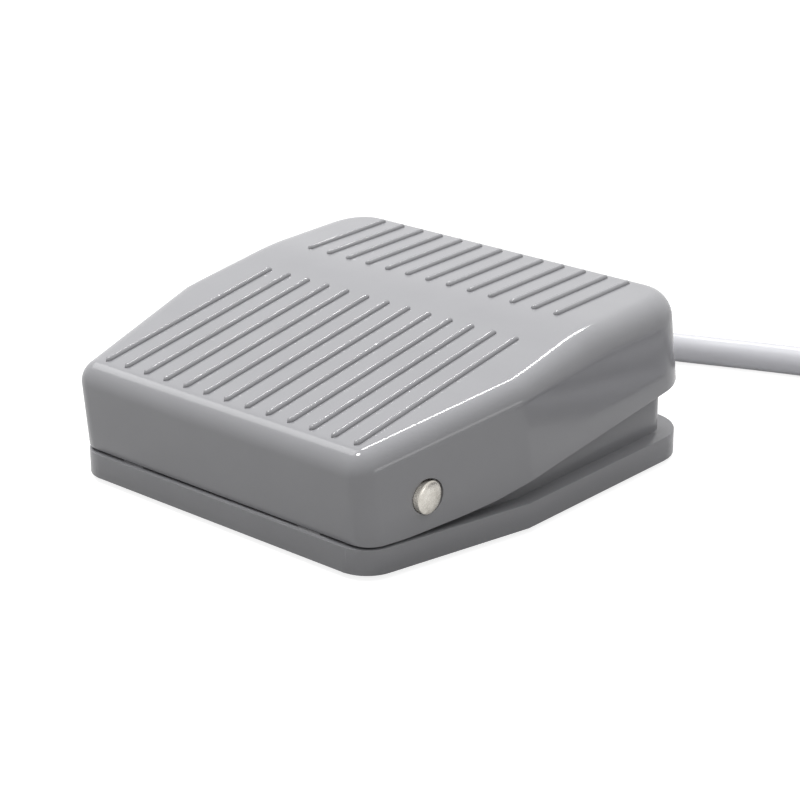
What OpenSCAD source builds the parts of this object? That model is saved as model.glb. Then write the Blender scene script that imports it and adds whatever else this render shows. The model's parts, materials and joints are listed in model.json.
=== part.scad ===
// Industrial foot switch: a ribbed pedal hinged over a moulded base that holds a snap-action switch.
// The row frame has its origin on the resting surface under the middle of the base, +Z up, +Y to the cable end.
// The pedal is drawn pressed down, where its skirt is level, and then raised about the hinge pins.

/* [Base] */
// Length of the base, front to rear
base_length = 85; // [82:1:92]
// Width across the straight sides
base_width = 86; // [84:1:94]
// Width of the front edge, between the flared sides
front_width = 71.2; // [68:0.2:76]
// Distance from the front edge to the bend where the sides turn parallel
flare_length = 34.8; // [32:0.2:38]
// Thickness of the base plate at its rim
plate_t = 4.7; // [4.2:0.1:5.4]
// Thickness of the floor inside the tray
floor_t = 2.6; // [2.2:0.1:3]
// Rounding of the two front corners
front_corner_r = 6.4; // [5.6:0.2:7.6]
// Rounding of the two rear corners
rear_corner_r = 9.2; // [8.4:0.2:10.4]
// How far the tray wall stands in from the rim
wall_inset = 3.2; // [3:0.1:3.6]
// Thickness of the tray wall
wall_t = 1.8; // [1.4:0.1:2.2]
// Height of the tray wall above the plate
wall_h = 12.3; // [11.5:0.1:12.6]
// Width of each rest pad under the front of the skirt
pad_w = 5.1; // [3:0.1:8]
// Distance of the rest pads from the middle
pad_x = 22; // [16:0.5:26]
// Clearance between a rest pad and the raised skirt
pad_gap = 0.15; // [0.1:0.05:0.3]

/* [Feet] */
// How far the feet lift the base off the floor
foot_stand = 1; // [0.6:0.1:2]
// Diameter of a rubber foot
foot_d = 10; // [8:0.5:12]
// Depth of the recess that holds a foot
foot_recess = 0.6; // [0.4:0.1:1]
// Distance of the feet from the front and rear edges
foot_setback = 11; // [10:0.5:14]
// Distance of a foot from the base's flared or straight side
foot_side = 11; // [10:0.5:14]

/* [Pedal] */
// Thickness of the skirt
skirt_t = 2; // [1.7:0.1:2.1]
// Thickness of the roof
roof_t = 2.4; // [2:0.1:2.8]
// Gap between the skirt and the plate when the pedal is pressed
skirt_gap = 1.25; // [1.15:0.05:1.6]
// Distance behind the front edge where the skirt turns flat at rest
skirt_turn = 8; // [7:0.5:9]
// How far the skirt bellies down behind the pins
belly_drop = 0.8; // [0.4:0.1:0.8]
// Distance of the belly's lowest point from the front edge
belly_setback = 25; // [22:0.5:28]
// Height of the roof above the plate at the front edge, pressed
front_height = 18.35; // [17.8:0.05:19]
// Height of the roof above the plate at the ridge, pressed
ridge_height = 20.9; // [20.4:0.1:22]
// Height of the roof above the plate at the rear edge, pressed
rear_height = 18.15; // [17.8:0.05:19]
// Distance of the ridge from the front edge
ridge_setback = 57.1; // [55:0.1:59]
// Half the length of the rounded stretch over the ridge
ridge_blend = 4.3; // [2:0.1:5]
// Rounding of the roof's edge at the front and along the flare
front_shoulder_r = 4; // [3.4:0.1:4.6]
// Rounding of the roof's edge at the ridge
ridge_shoulder_r = 5; // [4.4:0.1:5.6]
// Rounding of the roof's edge at the rear
rear_shoulder_r = 2.8; // [2.6:0.1:4]
// How far the skirt leans in from its foot to the roof
skirt_draft = 0.2; // [0.1:0.1:0.5]

/* [Ribs] */
// Number of ribs in each group
rib_count = 13; // [9:2:13]
// Spacing of the ribs
rib_pitch = 5.1; // [4.6:0.1:5.2]
// Radius of a rib's half-round section
rib_r = 0.65; // [0.5:0.05:0.8]
// Distance of the front ribs' first end from the front edge
front_rib_start = 5; // [4.6:0.2:7]
// Length of the front ribs
front_rib_length = 42.8; // [36:0.2:44]
// Distance of the rear ribs' first end from the front edge
rear_rib_start = 59.6; // [59:0.2:61]
// Distance of the rear ribs' last end from the rear edge
rear_rib_margin = 4; // [4:0.2:9]

/* [Hinge] */
// Distance of the hinge pins from the front edge
pin_setback = 12.9; // [11.5:0.1:14]
// Height of the hinge axis above the plate
pin_rise = 7.1; // [6.6:0.1:7.6]
// Diameter of a hinge pin
pin_d = 6; // [5:0.1:6.2]
// Length of a hinge pin without its dome
pin_length = 10.6; // [9:0.1:12]
// Height of the dome on a pin's end
pin_dome = 0.7; // [0.4:0.1:0.9]
// Angle by which the pedal stands above its pressed position
pedal_travel = 7.2; // [6:0.1:7.6]
// Radial clearance of a pin in the pedal
pin_clearance = 0.05; // [0.02:0.01:0.08]
// Diameter of the recess round a pin's domed end
pin_recess_d = 6.7; // [6.4:0.1:7.4]
// Depth of the recess round a pin's domed end
pin_recess_depth = 0.9; // [0.5:0.1:1]

/* [Return spring] */
// Mean diameter of the spring's coils
spring_d = 12; // [10.5:0.5:13]
// Diameter of the spring's wire
spring_wire = 1.2; // [0.9:0.1:1.4]
// Number of coils
spring_turns = 7; // [5:1:9]
// Distance of the spring from the rear edge
spring_setback = 29; // [27.5:0.5:30.5]

/* [Snap switch] */
// Length of the switch case
case_length = 27.8; // [27.8:0.1:28.4]
// Height of the switch case
case_height = 15.9; // [15.6:0.1:16]
// Thickness of the switch case with its cover
case_t = 10.3; // [9.8:0.1:10.8]
// Thickness of the case walls
case_wall = 1.2; // [1:0.1:1.4]
// Distance of the switch's middle to the left of the object's middle
switch_offset = 15; // [14.5:0.5:18]
// Distance of the case's rear end from the rear edge of the base
switch_setback = 33; // [32.2:0.1:34]
// Diameter of the plunger
plunger_d = 3; // [2.4:0.1:3.4]
// Distance from the lever's pin forward to the plunger
plunger_reach = 8; // [7:0.1:9]
// Distance from the lever's pin forward to where the pedal presses it
lever_reach = 19.3; // [18:0.1:20]
// Thickness of the lever's strip
lever_t = 0.5; // [0.4:0.1:0.7]
// Width of the lever
lever_w = 4.5; // [4:0.1:5]
// Clearance kept between the pedal, the lever and the plunger
touch_gap = 0.1; // [0.05:0.05:0.2]

/* [Cable] */
// Diameter of the cable's jacket
cable_d = 6; // [5.5:0.1:6.2]
// Height of the cable's axis above the plate where it leaves
cable_rise = 4.7; // [4.6:0.1:5]
// Length of the grommet's boot outside the wall
boot_length = 13.7; // [13.7:0.1:14]
// Diameter of an insulated core
core_d = 1.7; // [1.3:0.1:1.9]
// Mean diameter of the stored coil
coil_d = 63; // [60:1:70]

/* [Hidden] */

// Overlap that makes a cut pass right through a face
through = 1;
// Depth by which a moulded feature is sunk into the floor it grows from
sink = 0.5;
// Radial clearance of a pin or screw held tightly in its own bore
snug = 0.02;

// Levels
plate_top = foot_stand + plate_t;
floor_top = foot_stand + floor_t;
wall_top = plate_top + wall_h;
front_y = -base_length / 2;
rear_y = base_length / 2;

// Outline of the base and pedal
half_w = base_width / 2;
half_front = front_width / 2;
flare = atan((half_w - half_front) / flare_length);
corner_steps = 10;

// Hinge
pin_y = front_y + pin_setback;
pin_z = plate_top + pin_rise;
pin_r = pin_d / 2;
side_at_pin = side_x(pin_setback, 0);
boss_r = 5;
boss_depth = pin_length - 2.2;
pin_bore_depth = 8;
pin_chamfer = 0.4;

// Stops: posts under the roof for the pressed pedal
stop_behind = base_length - 15;
stop_x = 27;
stop_r = 3;
stop_gap = 0.4;

// Spring
spring_y = rear_y - spring_setback;
spring_behind = base_length - spring_setback;
spring_seat_h = 5;
spigot_clearance = 1.3;
spigot_r = spring_d / 2 - spring_wire / 2 - spigot_clearance;
spigot_length = 4;
spigot_shift = 0.9;
spring_gap = 0.3;

// Switch
switch_x = -switch_offset;
case_rear = rear_y - switch_setback;
case_front = case_rear - case_length;
case_top = floor_top + case_height;
cover_t = 1.5;
cover_x = switch_x + case_t / 2 - cover_t;
hole_inset = 2.8;
hole_spacing_y = case_length - 2 * hole_inset;
hole_spacing_z = case_height - 2 * hole_inset;
mount_hole_r = 1.55;
mount_post_r = 2.65;
screw_r = 1.45;
bracket_t = 2.5;
gusset_reach = 3.4;
screw_high = [case_front + hole_inset, floor_top + hole_inset + hole_spacing_z];
screw_low = [case_front + hole_inset + hole_spacing_y, floor_top + hole_inset];

// Lever and plunger: the lever lies level when the pedal is pressed
lever_pin_r = 0.5;
lug_t = 1.2;
lug_half = 1.2;
lug_x = lever_w / 2 + 0.75;
lever_ear_r = 1.05;
lever_pivot_y = case_rear - 1.7;
lever_pivot_z = case_top + 1.2;
lever_lift = 0.2;
lever_over = lever_lift + lever_t;
lever_tip = 3;
nose_r = 0.8;
nose_half = 3;
nose_y = lever_pivot_y - lever_reach;
nose_z = lever_pivot_z + lever_over + 2 * touch_gap;
nose_up = raised_point([nose_y, nose_z]);
lever_rise = nose_up[1] - 2 * touch_gap - lever_over - lever_pivot_z;
lever_tilt = atan(lever_rise / (lever_pivot_y - nose_up[0]));
plunger_y = lever_pivot_y - plunger_reach;
plunger_low = lever_pivot_z + lever_lift - touch_gap;
plunger_travel = plunger_reach * tan(lever_tilt);
plunger_collar = 0.8;

// Contact blade: level when pressed, raised to the upper contact at rest
blade_t = 0.3;
blade_w = 4;
blade_pivot_y = case_front + 2.3;
blade_z = floor_top + 8.4;
blade_roll_r = 0.6;
blade_tilt = atan(plunger_travel / (plunger_y - blade_pivot_y));
contact_y = case_rear - 4.5;
contact_r = 1.5;
contact_h = 0.65;
contact_rise = (contact_y + contact_r - blade_pivot_y) * sin(blade_tilt);
strip_t = 0.6;
strip_w = 4;
tab_length = 5.5;
tab_hole_r = 0.8;
tab_hole_back = 2.6;
open_face = blade_z - blade_t / 2 - contact_h - touch_gap;
closed_face = blade_z + blade_t / 2 + contact_h + contact_rise + touch_gap;
fixed_h = 0.8;
open_z = open_face - fixed_h - strip_t / 2;
closed_z = closed_face + fixed_h + strip_t / 2;
common_z = blade_z - 1.1;

// Cable
cable_r = cable_d / 2;
cable_z = plate_top + cable_rise;
wall_rear = rear_y - wall_inset;
wall_inside = wall_rear - wall_t;
neck_r = cable_r + 1.3;
jacket_end = wall_inside - 12.7;
clamp_y = wall_inside - 8.9;
clamp_w = 6;
clamp_screw_x = 7;
clamp_half = clamp_screw_x + 3;
clamp_bar_low = cable_z + 0.1;
clamp_bar_t = 2.2;
boot_end = wall_rear + boot_length;
coil_center = [103.5, 60.5];
coil_lift = 1;
coil_layers = 2;
coil_half = coil_layers * cable_r;
tie_t = 1;
tie_w = 4;

// Route of the free cable, from the boot's mouth to the coil
lead_route = [
    [0, 53, 10.4], [0, 56, 10.4], [0, 60, 9.8], [0, 64, 8.8], [1, 68, 7.4], [3, 73, 5.6], [6.2, 77.6, 4.1],
    [10.5, 81.4, 3.3], [15.8, 84.4, 3], [22, 87, 3], [29, 89.8, 3], [36, 92.5, 3],
    [44, 95, 3], [52, 96.7, 3], [61, 97.5, 3], [70, 97.6, 3], [79, 97.3, 3.1], [88, 96.7, 3.4],
    [97, 95.9, 3.8], [106.5, 94.9, 4]
];

// The last turn climbs out of the coil and lies on top of it: angle, radius and height at its points
tail_turn = concat(
    [[-8, 34.5, 10], [-25, 34, 12], [-42, 32.5, 14.5]],
    [for (angle = [-60:-11:-313]) [angle, 31.5, 16]]
);
tail_route = [for (p = tail_turn)
    [coil_center[0] + p[1] * cos(p[0]), coil_center[1] + p[1] * sin(p[0]), p[2]]];
end_route = [
    [0.15, 0, 0], [2, -0.1, 0], [6, -0.6, -0.8], [10, -1.6, -1.8], [14, -3.1, -2.3], [20, -6.3, -2.3]
];

// Routes of the three cores inside the tray, from the jacket's end to the terminals
lane_x = switch_x - case_t / 2 - bracket_t - gusset_reach - 1.95;
front_tab = case_front - tab_length;
rear_tab = case_rear + tab_length;
common_route = [
    [-1.6, jacket_end, cable_z], [-1.6, jacket_end - 0.8, cable_z], [-4, jacket_end - 1.6, cable_z - 0.2],
    [-9, jacket_end - 1.8, cable_z - 1.8], [switch_x, jacket_end - 2.2, cable_z - 3.2],
    [lane_x + 8, jacket_end - 4.5, cable_z - 3.2],
    [lane_x + 2, case_rear + 2.3, cable_z - 3], [lane_x, case_rear - 9.5, cable_z - 2],
    [lane_x + 0.5, case_front + 3, cable_z], [lane_x + 3, front_tab + 4, common_z],
    [switch_x - 6, front_tab + tab_hole_back, common_z],
    [switch_x - strip_w / 2, front_tab + tab_hole_back, common_z]
];
open_route = [
    [0.4, jacket_end, cable_z - 1.6], [0.4, jacket_end - 1, cable_z - 1.6],
    [-2, jacket_end - 3.6, cable_z - 1.5], [-7, jacket_end - 5.2, open_z - 0.4],
    [switch_x + 0.8, rear_tab + 3.2, open_z], [switch_x, rear_tab + 1, open_z], [switch_x, rear_tab, open_z]
];
closed_route = [
    [0.4, jacket_end, cable_z + 1.6], [0.4, jacket_end - 1, cable_z + 1.6],
    [-4, jacket_end - 3.2, cable_z + 2.6], [-10, jacket_end - 4.4, closed_z - 0.6],
    [switch_x + 0.8, rear_tab + 3.2, closed_z], [switch_x, rear_tab + 1, closed_z], [switch_x, rear_tab, closed_z]
];

// Half width of the outline at a distance behind the front edge, on its flared stretch
function side_x(behind, inset) = half_front + behind * tan(flare) - inset / cos(flare);

// Points on an arc about a centre
function arc(center, r, from, to, steps) =
    [for (i = [0:steps]) let (a = from + (to - from) * i / steps) center + r * [cos(a), sin(a)]];

// Radii and centres of the rounded corners, drawn in by an inset
function corner_r(r, inset) = max(r - inset, 1);
function front_corner(inset) =
    let (r = corner_r(front_corner_r, inset)) [side_x(inset + r, inset + r), front_y + inset + r];
function rear_corner(inset) =
    let (r = corner_r(rear_corner_r, inset)) [half_w - inset - r, rear_y - inset - r];

// Right half of the outline, from the front corner to the rear corner
function right_side(inset) = concat(
    arc(front_corner(inset), corner_r(front_corner_r, inset), -90, -flare, corner_steps),
    [[half_w - inset, front_y + flare_length + inset * tan(flare / 2)]],
    arc(rear_corner(inset), corner_r(rear_corner_r, inset), 0, 90, corner_steps)
);

// Height of the roof above the floor, pressed, at a distance behind the front edge
function roof_at(behind) = plate_top + (behind < ridge_setback
    ? front_height + (ridge_height - front_height) * behind / ridge_setback
    : ridge_height + (rear_height - ridge_height) * (behind - ridge_setback) / (base_length - ridge_setback));
front_slope = atan((ridge_height - front_height) / ridge_setback);
rear_slope = atan((rear_height - ridge_height) / (base_length - ridge_setback));

// A point of the pressed pedal, as [y, z], where it stands at rest
function raised_point(p) = [
    pin_y + (p[0] - pin_y) * cos(pedal_travel) - (p[1] - pin_z) * sin(pedal_travel),
    pin_z + (p[0] - pin_y) * sin(pedal_travel) + (p[1] - pin_z) * cos(pedal_travel)
];

function unit(v) = v / norm(v);

// Ring of points round a path at one of its points
function ring(path, i, r, sides) =
    let (
        along = unit(path[min(i + 1, len(path) - 1)] - path[max(i - 1, 0)]),
        side = unit(cross(along, [0, 0, 1])),
        lift = cross(side, along)
    )
    [for (k = [0:sides - 1]) path[i] + r * (cos(360 * k / sides) * side + sin(360 * k / sides) * lift)];

// Round tube swept along a path
module tube(path, r, sides) {
    rings = len(path);
    points = [for (i = [0:rings - 1]) each ring(path, i, r, sides)];
    walls = [
        for (i = [0:rings - 2], k = [0:sides - 1])
            let (a = i * sides + k, b = i * sides + (k + 1) % sides)
            each [[a, b, b + sides], [a, b + sides, a + sides]]
    ];
    start = [for (k = [sides - 1:-1:0]) k];
    finish = [for (k = [0:sides - 1]) (rings - 1) * sides + k];
    polyhedron(points = points, faces = concat([start, finish], walls), convexity = 6);
}

// Outline of the base, drawn in by an inset
module outline(inset) {
    right = right_side(inset);
    left = [for (i = [len(right) - 1:-1:0]) [-right[i][0], right[i][1]]];
    polygon(concat(right, left));
}

// Turns the pressed pedal up to where the spring holds it
module raised() {
    translate([0, pin_y, pin_z])
        rotate([pedal_travel, 0, 0])
            translate([0, -pin_y, -pin_z])
                children();
}

// Cylinder along X
module bar(r, from_x, to_x, fn = 64) {
    translate([from_x, 0, 0])
        rotate([0, 90, 0])
            cylinder(r = r, h = to_x - from_x, $fn = fn);
}

// Both sides of the object
module both_sides() {
    children();
    mirror([1, 0, 0]) children();
}

// ---- base ----

module base_shell() {
    difference() {
        union() {
            translate([0, 0, foot_stand]) linear_extrude(plate_t) outline(0);
            translate([0, 0, plate_top - 0.5]) linear_extrude(wall_h + 0.5) outline(wall_inset);
        }
        translate([0, 0, floor_top]) linear_extrude(plate_t + wall_h) outline(wall_inset + wall_t);
    }
}

// Block that carries a hinge pin, cut to the tray's inside
module pin_boss() {
    intersection() {
        translate([side_at_pin - boss_depth - wall_inset, pin_y, 0]) union() {
            translate([0, 0, pin_z]) bar(boss_r, 0, boss_depth);
            translate([0, -boss_r, floor_top - sink]) cube([boss_depth, 2 * boss_r, pin_z - floor_top + sink]);
        }
        linear_extrude(wall_top + boss_r) outline(wall_inset + 0.4);
    }
}

// Post that stops the pressed pedal
module stop_post() {
    top = roof_at(stop_behind + stop_r) - roof_t - stop_gap;
    translate([stop_x, front_y + stop_behind, floor_top - sink])
        cylinder(r = stop_r, h = top - floor_top + sink, $fn = 48);
}

module rest_pad() {
    pad_depth = 2;
    raised_edge = raised_point([front_y + skirt_turn, plate_top + skirt_gap])[1] - pad_gap;
    pad_setback = 1;
    translate([pad_x - pad_w / 2, front_y + pad_setback, plate_top - sink])
        cube([pad_w, pad_depth, raised_edge - plate_top + sink]);
}

module switch_bracket() {
    gusset_t = 2;
    gusset_h = 9.5;
    gusset_inset = 4;
    back_x = switch_x - case_t / 2 - bracket_t;
    translate([back_x, case_front, floor_top - sink])
        cube([bracket_t, case_length, case_height - sink]);
    for (y = [case_front + gusset_inset, case_rear - gusset_inset - gusset_t])
        translate([back_x - gusset_reach, y, floor_top - sink])
            cube([gusset_reach + bracket_t / 2, gusset_t, gusset_h + sink]);
}

module clamp_saddle() {
    translate([-clamp_half, clamp_y - clamp_w / 2, floor_top - sink])
        cube([2 * clamp_half, clamp_w, cable_z - 0.3 - floor_top + sink]);
}

module base() {
    color("#77787c")
    difference() {
        union() {
            base_shell();
            both_sides() pin_boss();
            both_sides() stop_post();
            both_sides() rest_pad();
            switch_bracket();
            clamp_saddle();
            translate([0, spring_y, floor_top - sink]) cylinder(r = spigot_r, h = spring_seat_h + sink, $fn = 48);
        }
        both_sides()
            translate([0, pin_y, pin_z])
                bar(pin_r + snug, side_at_pin - pin_length - 0.8, half_w);
        for (screw = [screw_high, screw_low])
            translate([0, screw[0], screw[1]])
                bar(screw_r - 0.2, switch_x - case_t / 2 - bracket_t - through, switch_x, 32);
        for (x = [-clamp_screw_x, clamp_screw_x])
            translate([x, clamp_y, floor_top + 0.4]) cylinder(r = screw_r - 0.4, h = cable_z, $fn = 32);
        translate([0, clamp_y - clamp_w, cable_z])
            rotate([-90, 0, 0]) cylinder(r = cable_r + 0.05, h = 2 * clamp_w, $fn = 48);
        translate([0, wall_inside - through, cable_z])
            rotate([-90, 0, 0]) cylinder(r = neck_r, h = wall_t + 2 * through, $fn = 48);
        for (spot = foot_spots())
            translate([spot[0], spot[1], foot_stand - through])
                cylinder(r = foot_d / 2 + 0.1, h = foot_recess + through, $fn = 64);
    }
}

// ---- feet ----

function foot_spots() = [
    for (side = [-1, 1], behind = [foot_setback, base_length - foot_setback])
        [side * (min(side_x(behind, 0), half_w) - foot_side), front_y + behind]
];

module rubber_feet() {
    color("#2b2b2d")
    for (spot = foot_spots())
        translate([spot[0], spot[1], 0]) {
            cylinder(r1 = foot_d / 2 - 0.4, r2 = foot_d / 2, h = 0.4, $fn = 64);
            translate([0, 0, 0.4]) cylinder(r = foot_d / 2, h = foot_stand + foot_recess - 0.4, $fn = 64);
        }
}

// ---- hinge pins ----

module hinge_pin() {
    flat = side_at_pin - pin_dome;
    cap_r = (pin_r * pin_r + pin_dome * pin_dome) / (2 * pin_dome);
    cap_angle = asin(pin_r / cap_r);
    cap = [for (i = [0:6]) let (a = cap_angle * (1 - i / 6))
        [cap_r * sin(a), pin_length + cap_r * cos(a) - cap_r + pin_dome]];
    translate([flat - pin_length, pin_y, pin_z])
        rotate([0, 90, 0])
            rotate_extrude($fn = 72)
                polygon(concat([[0, 0], [pin_r - pin_chamfer, 0], [pin_r, pin_chamfer]], cap));
}

module hinge_pins() {
    color("#d9d5cc") both_sides() hinge_pin();
}

// ---- pedal ----

// Round button with a rounded rim, top face at the given height
module button(center, r, rim, top) {
    translate([center[0], center[1], top - rim])
        rotate_extrude($fn = 48)
            polygon(concat([[0, -rim], [r, -rim]], arc([r - rim, 0], rim, 0, 90, 8), [[0, rim]]));
}

// One shoulder of the pedal's roof: a button on each side
module shoulder(center, r, rim, skin) {
    behind = center[1] - front_y;
    slope = behind < ridge_setback ? front_slope : rear_slope;
    cover = skin > 0 ? roof_t : 0;
    dip = (r - rim) * abs(sin(slope));
    both_sides()
        button([center[0] - skirt_draft, center[1]], r - skin, rim - skin, roof_at(behind) - cover - dip);
}

// Solid shape of the pedal, or its hollow when skin is the wall thickness
module pedal_form(skin, foot) {
    side_r = 8;
    ridge_z = [for (step = [-1, 0, 1]) roof_at(ridge_setback + step * ridge_blend)];
    hull() {
        translate([0, 0, foot]) linear_extrude(0.1) outline(skin);
        shoulder(front_corner(0), front_corner_r, front_shoulder_r, skin);
        shoulder([half_w - side_r, front_y + flare_length], side_r, front_shoulder_r, skin);
        shoulder([half_w - side_r, front_y + ridge_setback - ridge_blend], side_r, ridge_shoulder_r, skin);
        both_sides()
            button(
                [half_w - side_r - skirt_draft, front_y + ridge_setback],
                side_r - skin, ridge_shoulder_r - skin,
                ridge_z[1] / 2 + (ridge_z[0] + ridge_z[2]) / 4 - (skin > 0 ? roof_t : 0) - 0.1
            );
        shoulder([half_w - side_r, front_y + ridge_setback + ridge_blend], side_r, ridge_shoulder_r, skin);
        shoulder(rear_corner(0), rear_corner_r, rear_shoulder_r, skin);
    }
}

// Half-round rib on the roof, from one distance behind the front edge to another
module rib(x, from, length, slope) {
    translate([x, front_y + from, roof_at(from)])
        rotate([slope - 90, 0, 0]) {
            cylinder(r = rib_r, h = length, $fn = 24);
            sphere(rib_r, $fn = 24);
            translate([0, 0, length]) sphere(rib_r, $fn = 24);
        }
}

module ribs() {
    for (i = [0:rib_count - 1]) {
        x = (i - (rib_count - 1) / 2) * rib_pitch;
        rib(x, front_rib_start, front_rib_length, front_slope);
        rib(x, rear_rib_start, base_length - rear_rib_margin - rear_rib_start, rear_slope);
    }
}

// Space below the skirt's lower edge: flat at the front when raised, bellied behind the pins, then level
module below_skirt() {
    level = plate_top + skirt_gap;
    edge = [
        [-3, level + (skirt_turn + 3) * tan(pedal_travel)],
        [skirt_turn, level],
        [belly_setback - 5, level - belly_drop],
        [belly_setback + 2, level - belly_drop],
        [flare_length, level],
        [base_length + 3, level],
        [base_length + 3, foot_stand],
        [-3, foot_stand]
    ];
    translate([-half_w - 2, front_y, 0])
        rotate([90, 0, 90])
            linear_extrude(base_width + 4) polygon(edge);
}

module pedal() {
    notch_half = neck_r + 1.9;
    notch_depth = skirt_t + 6;
    color("#8b8c90")
    raised() {
        difference() {
            union() {
                pedal_form(0, foot_stand + 1);
                ribs();
            }
            pedal_form(skirt_t, foot_stand);
            below_skirt();
            both_sides()
                translate([0, pin_y, pin_z]) {
                    bar(pin_r + pin_clearance, side_at_pin - pin_bore_depth, half_w);
                    bar(pin_recess_d / 2, side_at_pin - pin_recess_depth, half_w);
                }
            translate([0, rear_y - notch_depth / 2, cable_z + 1])
                rotate([-90, 0, 0]) cylinder(r = notch_half, h = notch_depth, $fn = 48);
            translate([-notch_half, rear_y - notch_depth / 2, foot_stand])
                cube([2 * notch_half, notch_depth, cable_z + 1 - foot_stand]);
        }
        // nose that presses the switch's lever
        translate([switch_x, nose_y, nose_z + nose_r]) bar(nose_r, -nose_half, nose_half, 32);
        translate([switch_x - nose_half, nose_y - nose_r, nose_z + nose_r])
            cube([2 * nose_half, 2 * nose_r, roof_at(nose_y - front_y) - roof_t / 2 - nose_z - nose_r]);
        // spigot that centres the spring's upper end
        translate([0, spring_y + spigot_shift, roof_at(spring_behind) - roof_t - spigot_length])
            cylinder(r = spigot_r, h = spigot_length + roof_t / 2, $fn = 48);
    }
}

// ---- return spring ----

module return_spring() {
    seat_up = raised_point([spring_y + spigot_shift - spring_d / 2, roof_at(spring_behind - spring_d / 2) - roof_t]);
    height = seat_up[1] - spring_gap - floor_top;
    steps = 20;
    low = floor_top + spring_wire / 2;
    rise = height - spring_wire;
    // the first and last turn lie flat, and the rest climb evenly
    climb = [for (i = [0:spring_turns * steps]) let (t = i / steps)
        min(max(t - 0.8, 0) / (spring_turns - 1.6), 1)];
    path = [for (i = [0:spring_turns * steps]) let (a = 360 * i / steps)
        [spring_d / 2 * cos(a), spring_y + spring_d / 2 * sin(a), low + rise * climb[i]]];
    color("#b9bbbf") tube(path, spring_wire / 2, 8);
}

// ---- snap switch ----

module switch_case() {
    shell_x = switch_x - case_t / 2;
    shell_t = case_t - cover_t;
    color("#1f1f22")
    difference() {
        union() {
            difference() {
                translate([shell_x, case_front, floor_top]) cube([shell_t, case_length, case_height]);
                translate([shell_x + case_wall, case_front + case_wall, floor_top + case_wall])
                    cube([shell_t, case_length - 2 * case_wall, case_height - 2 * case_wall]);
            }
            for (screw = [screw_high, screw_low])
                translate([0, screw[0], screw[1]]) bar(mount_post_r, shell_x + sink, cover_x, 48);
            for (side = [-1, 1])
                translate([switch_x + side * lug_x - lug_t / 2, lever_pivot_y - lug_half, case_top - sink])
                    cube([lug_t, 2 * lug_half, lever_pivot_z - case_top + lug_half - 0.2 + sink]);
        }
        for (screw = [screw_high, screw_low])
            translate([0, screw[0], screw[1]]) bar(mount_hole_r, shell_x - through, cover_x + through, 48);
        translate([switch_x, plunger_y, case_top - case_wall - through])
            cylinder(r = plunger_d / 2 + 0.05, h = case_wall + 2 * through, $fn = 48);
        translate([switch_x, lever_pivot_y, lever_pivot_z])
            bar(lever_pin_r + snug, -lever_w, lever_w, 32);
        for (z = [open_z, closed_z])
            terminal_slot(case_rear - case_wall, z);
        terminal_slot(case_front, common_z);
    }
}

// Slot in an end wall, open towards the cover
module terminal_slot(y, z) {
    translate([switch_x - strip_w / 2 - 0.1, y - through, z - strip_t / 2 - 0.05])
        cube([case_t, case_wall + 2 * through, strip_t + 0.1]);
}

module switch_cover() {
    color("#2c2c30")
    difference() {
        translate([cover_x, case_front, floor_top]) cube([cover_t, case_length, case_height]);
        for (screw = [screw_high, screw_low])
            translate([0, screw[0], screw[1]]) bar(mount_hole_r, cover_x - through, cover_x + cover_t + through, 48);
    }
}

module switch_plunger() {
    foot = blade_z + blade_t / 2 + touch_gap + plunger_travel + 0.02;
    head = plunger_low + plunger_travel;
    collar_top = case_top - case_wall - touch_gap;
    color("#b8322a")
    translate([switch_x, plunger_y, 0]) {
        translate([0, 0, foot]) cylinder(r = plunger_d / 2, h = head - 0.4 - foot, $fn = 48);
        translate([0, 0, head - 0.4]) cylinder(r1 = plunger_d / 2, r2 = plunger_d / 2 - 0.4, h = 0.4, $fn = 48);
        translate([0, 0, collar_top - plunger_collar]) cylinder(r = plunger_d / 2 + 0.7, h = plunger_collar, $fn = 48);
    }
}

// Turns the level lever up to where the plunger's spring holds it
module lever_up() {
    translate([switch_x, lever_pivot_y, lever_pivot_z])
        rotate([-lever_tilt, 0, 0])
            children();
}

module switch_lever() {
    color("#c9cbcf")
    lever_up()
        difference() {
            union() {
                translate([-lever_w / 2, -lever_reach - lever_tip, lever_lift])
                    cube([lever_w, lever_reach + lever_tip - 0.4, lever_t]);
                for (side = [-1, 1])
                    translate([side * (lever_w / 2 - 0.25) - 0.25, 0, 0]) {
                        bar(lever_ear_r, 0, 0.5, 32);
                        translate([0, -2.6, 0]) cube([0.5, 2.6, lever_lift + 0.1]);
                    }
            }
            bar(lever_pin_r + 0.05, -lever_w, lever_w, 32);
        }
}

module lever_pin() {
    color("#d4d6da")
    translate([switch_x, lever_pivot_y, lever_pivot_z])
        bar(lever_pin_r, -lug_x - lug_t / 2, lug_x + lug_t / 2, 32);
}

// Strip with a soldering hole near its outer end
module terminal_strip(from, to, z, hole_y) {
    difference() {
        translate([switch_x - strip_w / 2, from, z - strip_t / 2]) cube([strip_w, to - from, strip_t]);
        translate([switch_x, hole_y, z - strip_t]) cylinder(r = tab_hole_r, h = 2 * strip_t, $fn = 32);
    }
}

module common_terminal() {
    cradle = 1;
    color("#cdb26a")
    difference() {
        union() {
            terminal_strip(front_tab, blade_pivot_y + 2.4, common_z, front_tab + tab_hole_back);
            translate([switch_x - strip_w / 2, blade_pivot_y - cradle, common_z])
                cube([strip_w, 2 * cradle, blade_z - 0.35 - common_z]);
        }
        translate([switch_x, blade_pivot_y, blade_z]) bar(blade_roll_r + 0.05, -strip_w, strip_w, 32);
    }
}

module open_terminal() {
    color("#cdb26a") {
        terminal_strip(contact_y - 2, rear_tab, open_z, rear_tab - tab_hole_back);
        translate([switch_x, contact_y, open_face - fixed_h]) cylinder(r = contact_r, h = fixed_h, $fn = 48);
    }
}

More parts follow.
